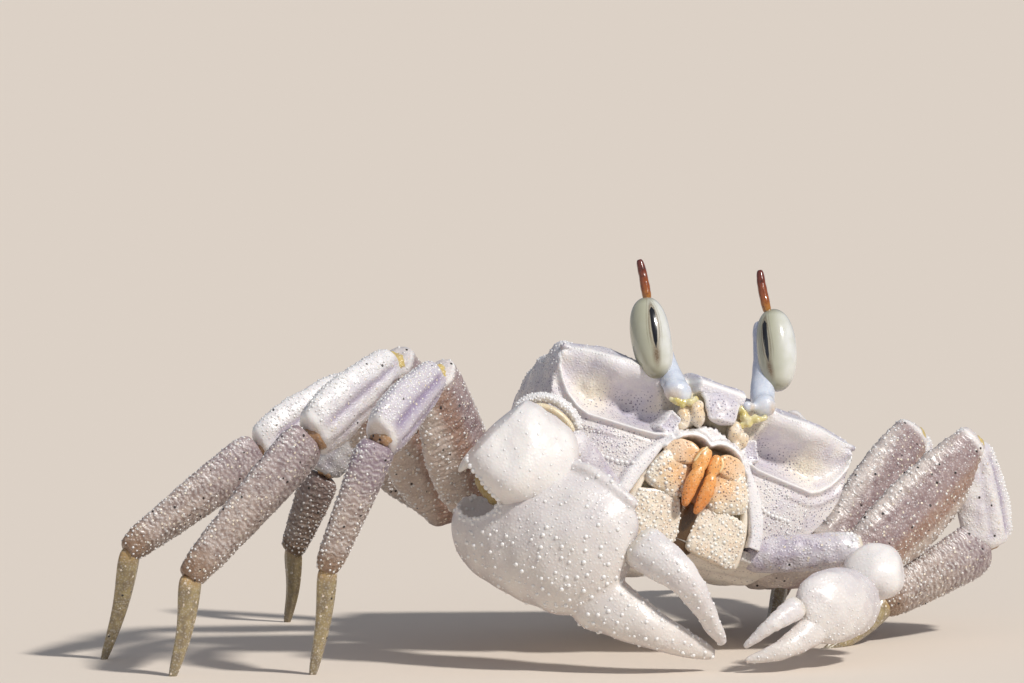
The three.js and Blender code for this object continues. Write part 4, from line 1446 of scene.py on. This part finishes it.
def leg_thigh(leg, hip, base, knee, fold, across):
    size, seed = leg.size, leg.seed
    thigh = knee - base
    root = limb([hip, base + thigh * 0.1], fold, 3.0 * size, 3.2 * size, 40, 32, 4)
    path = [base, (base + knee) / 2 - across * 0.8 * size, beyond(base, knee, JOINT_REACH)]
    main = limb(path, across,
                lambda t: size * (2.9 + 1.5 * np.sin(math.pi * np.minimum(1, t * 1.02)) ** 1.2),
                lambda t: size * (2.1 + 0.5 * np.sin(math.pi * t)), 48, 72, 6, keel)
    form = fused([root, main], 0.24, 5, 0.5)
    t = np.clip(((form.at - base) @ thigh) / (thigh @ thigh), 0, 1)
    up = (form.at - base - t[:, None] * thigh) @ across
    front = smooth(-form.normals()[:, 1], 0.1, 0.7)
    turns = math.tau * t * np.linalg.norm(thigh) / WRINKLE_LENGTH
    wrinkle = np.sin(turns + 2 * ripple(form.at, 2.4, seed + 1))
    form.push(0.06 * ripple(form.at, 1.5, seed) + 0.08 * ripple(form.at, 4, seed + 1)
              + 0.05 * wrinkle * smooth(t, 0.05, 0.2))
    lip = hump(t, 0.985, 0.022)
    form.push(0.14 * lip)
    edge = smooth(np.abs(up), 2.2 * size, 3.6 * size)
    # The amber on the lower front face is painted shade, for light through the shaded shell.
    form.tint(bright=0.35 * edge + 0.8 * lip, shade=0.35 * (1 - edge), dots=0.2, dark=leg.dark,
              warm=0.3 * front * smooth(-up, -0.5, 1.5) + 0.1)
    clear = smooth(t, 0.05, 0.2)
    rows = granules(form, edge * clear, 170, 0.5, (0.14, 0.26), seed + 2, 0.3, 1, bright=0.9 - leg.dark)
    spread = granules(form, clear + 0.02, 330, 0.6, (0.1, 0.22), seed + 3, 0.35, 1,
                      bright=0.85 - leg.dark)
    dress(f"{leg.name}_thigh", [form, rows, spread], leg_finish, "leg_shell", f"{leg.name}_merus")


def leg_wrist(leg, knee, wrist, across):
    size, seed = leg.size, leg.seed
    path = [beyond(wrist, knee, 0.1), beyond(knee, wrist, JOINT_REACH)]
    form = limb(path, across, lambda t: size * mix(2.5, 3.45, smooth(t, 0, 0.7)),
                lambda t: size * mix(2.1, 2.5, t), 72, 96, 4.5, lambda angle: keel(angle, 0.1, 0.08))
    length = np.sin(math.pi * np.clip(form.t, 0, 1))
    front = np.sin(form.angle) * leg.side
    height = np.cos(form.angle)
    groove, second = (
        hump(height, middle, width) * smooth(front, 0.1, 0.4) * smooth(length, 0.2, 0.5)
        for middle, width in ((0.42, 0.16), (-0.35, 0.14))
    )
    form.push(0.08 * ripple(form.at, 2.4, seed + 4) - size * (0.3 * groove + 0.2 * second))
    upper = smooth(height, 0.55, 0.95)
    end = hump(form.t, 0.965, 0.025)
    lilac = LEG_LILAC.get(leg.name, 0.0)
    # The lilac in the two grooves is partly the shell's own stripes and partly painted shade.
    form.tint(bright=(0.4 * upper + 0.22 * (1 - groove)) * (1 - lilac) + 0.5 * end, dots=0.06,
              dark=leg.dark, shade=(0.7 * groove + 0.45 * second + lilac) * (1 - end),
              warm=0.4 * smooth(form.t, 0.975, 1))
    weight = smooth(length, 0.1, 0.3)
    rows = granules(form, upper * weight, 170, 0.46, (0.12, 0.22), seed + 5, 0.3, 1, bright=1.0 - leg.dark)
    fine = granules(form, weight * (1 - upper), 240, 0.5, (0.06, 0.14), seed + 15, 0.3, 1,
                    bright=0.9 - leg.dark)
    skin = joint_skin(knee, across, unit(knee - wrist), size)
    dress(f"{leg.name}_wrist", [form, rows, fine, skin], wrist_finish, "claw_shell", f"{leg.name}_carpus")


def joint_skin(centre, across, along, size):
    """The soft yellow skin of a leg joint, sunk below the shell on its upper side."""
    spread = unit(np.cross(across, along))
    low, high = centre - across * 2.3 * size, centre + across * 1.0 * size
    form = limb([low, high], spread, 1.75 * size, 1.3 * size, 28, 28, 2.8)
    form.push(0.1 * ripple(form.at, 0.9, 5))
    return form.tint(warm=1.0, bright=0.12, dark=0.12)


def leg_shin(leg, wrist, ankle, across):
    size, seed = leg.size, leg.seed
    length = np.linalg.norm(ankle - wrist)
    form = limb([beyond(ankle, wrist, -SHIN_START), beyond(wrist, ankle, JOINT_REACH)], across,
                lambda t: size * (3.1 + 0.2 * np.sin(math.pi * t**0.7) - 1.2 * t),
                lambda t: size * mix(2.05, 1.45, t), 96, 168, 7, lambda angle: keel(angle, 0.16, 0.1))
    run = form.t * length
    zigzag = 1.1 * np.sin(form.angle * 13 + 2 * ripple(form.at, 3, seed + 10))
    wave = np.sin(math.tau * run / FOLD_LENGTH + zigzag + 1.5 * ripple(form.at, 2.2, seed + 6))
    folds = smooth(wave, -0.3, 0.9) * (0.6 + 0.4 * ripple(form.at, 0.9, seed + 7))
    ends = smooth(np.sin(math.pi * form.t), 0.05, 0.25)
    form.push(0.1 * folds * ends + 0.05 * ripple(form.at, 3, seed + 8))
    tip = smooth(form.t, 0.78, 0.96)
    dark = leg.dark
    lilac = LEG_LILAC.get(leg.name, 0.3) * (1 - smooth(form.t, 0.1, 0.6))
    form.tint(bright=0.42 * folds * ends * (1 - tip) * (1 - dark), shade=lilac,
              dots=0.1, warm=0.35 * tip + 0.5 * dark, dark=0.3 * tip + dark)
    edges = smooth(np.abs(np.cos(form.angle)), 0.9, 1.0) * ends
    rows = granules(form, edges, 150, 0.48, (0.12, 0.2), seed + 9, 0.25, 1, bright=0.8 - dark)
    lower = smooth(-np.cos(form.angle), -0.6, 0.9) * smooth(form.t, 0.2, 0.8)
    grains = granules(form, lower + 0.05, 150, 0.55, (0.1, 0.2), seed + 11, 0.2, 1, bright=0.95 - dark)
    skin = joint_skin(wrist, across, unit(wrist - ankle), size * 0.95)
    parts = [form, rows, grains, skin]
    dress(f"{leg.name}_shin", parts, leg_finish, "leg_shell", f"{leg.name}_propodus")


def leg_toe(leg, ankle, toe, across):
    size = leg.size
    bow = (ankle + toe) / 2 + across * leg.side * 0.6 * size
    form = limb([ankle, bow, toe], across, lambda t: size * mix(1.75, 0.55, t**0.9),
                lambda t: size * mix(1.25, 0.5, t), 40, 80, 5, lambda angle: keel(angle, 0.2, 0.05))
    grooves = np.cos(form.angle * 6) * smooth(np.sin(math.pi * form.t), 0.1, 0.4)
    form.push(0.05 * grooves)
    form.at[:, 2] = np.maximum(form.at[:, 2], 0.0)
    form.tint(warm=0.5 * (1 - smooth(form.t, 0.0, 0.15)), shade=0.5 * smooth(form.t, 0.6, 1.0),
              bright=0.1, dark=leg.dark)
    skin = joint_skin(ankle, across, unit(ankle - toe), size * 0.55)
    dress(f"{leg.name}_toe", [form, skin], toe_finish, "toe", f"{leg.name}_dactyl")


# ---- the room ------------------------------------------------------------------
FLOOR_SIZE = 9.0
SUN = (0.36, -0.6, 0.716)
WARM_WHITE = (1.0, 0.97, 0.93)
COOL_WHITE = (0.88, 0.93, 1.0)
SKY = (0.8, 0.86, 1.0, 1.0)
SKY_STRENGTH = 0.3
SENSOR_WIDTH = 36.0


def room():
    """A plain pale floor and soft light."""
    bm = bmesh.new()
    bmesh.ops.create_grid(bm, x_segments=1, y_segments=1, size=FLOOR_SIZE)
    mesh = bpy.data.meshes.new("floor")
    bm.to_mesh(mesh)
    bm.free()
    floor = bpy.data.objects.new("floor", mesh)
    bpy.context.scene.collection.objects.link(floor)
    f = Finish("pale_floor")
    mesh.materials.append(f.set(Base_Color=tone(229, 217, 203), Roughness=0.9))
    lamp("key", SUN, strength=3.0, spread=6.0, colour=WARM_WHITE)
    lamp("fill", (-0.8, -0.5, 0.35), strength=0.16, spread=60.0, colour=COOL_WHITE)
    world = bpy.data.worlds.new("sky")
    world.use_nodes = True
    backdrop = world.node_tree.nodes["Background"]
    backdrop.inputs["Color"].default_value = SKY
    backdrop.inputs["Strength"].default_value = SKY_STRENGTH
    bpy.context.scene.world = world
    bpy.context.scene.view_settings.view_transform = "Standard"


def lamp(name, place, strength, spread, colour):
    light = bpy.data.lights.new(name, "SUN")
    light.energy = strength
    light.angle = math.radians(spread)
    light.color = colour
    lamp_object = bpy.data.objects.new(name, light)
    lamp_object.location = place
    lamp_object.rotation_euler = Vector(place).to_track_quat("Z", "Y").to_euler()
    bpy.context.scene.collection.objects.link(lamp_object)


def camera():
    """A long lens, so far off that the view is almost parallel."""
    azimuth, elevation = math.radians(-21.0), math.radians(6.0)
    distance = 4.0
    picture_width = 0.1251
    target = Vector((-0.0064, -0.0071, 0.0378))
    toward = Vector((
        math.sin(azimuth) * math.cos(elevation),
        -math.cos(azimuth) * math.cos(elevation),
        math.sin(elevation),
    ))
    data = bpy.data.cameras.new("camera")
    data.sensor_width = SENSOR_WIDTH
    data.lens = SENSOR_WIDTH * distance / picture_width
    view = bpy.data.objects.new("camera", data)
    view.location = target + toward * distance
    view.rotation_euler = toward.to_track_quat("Z", "Y").to_euler()
    bpy.context.scene.collection.objects.link(view)
    bpy.context.scene.camera = view


camera()
room()
carapace()
sternum()
abdomen()
for side_name, side in (("right", -1), ("left", 1)):
    eye(side_name, side)
    head_parts(side_name, side)
    claw(side_name)
for name, joints in LEGS.items():
    walking_leg(name, joints)
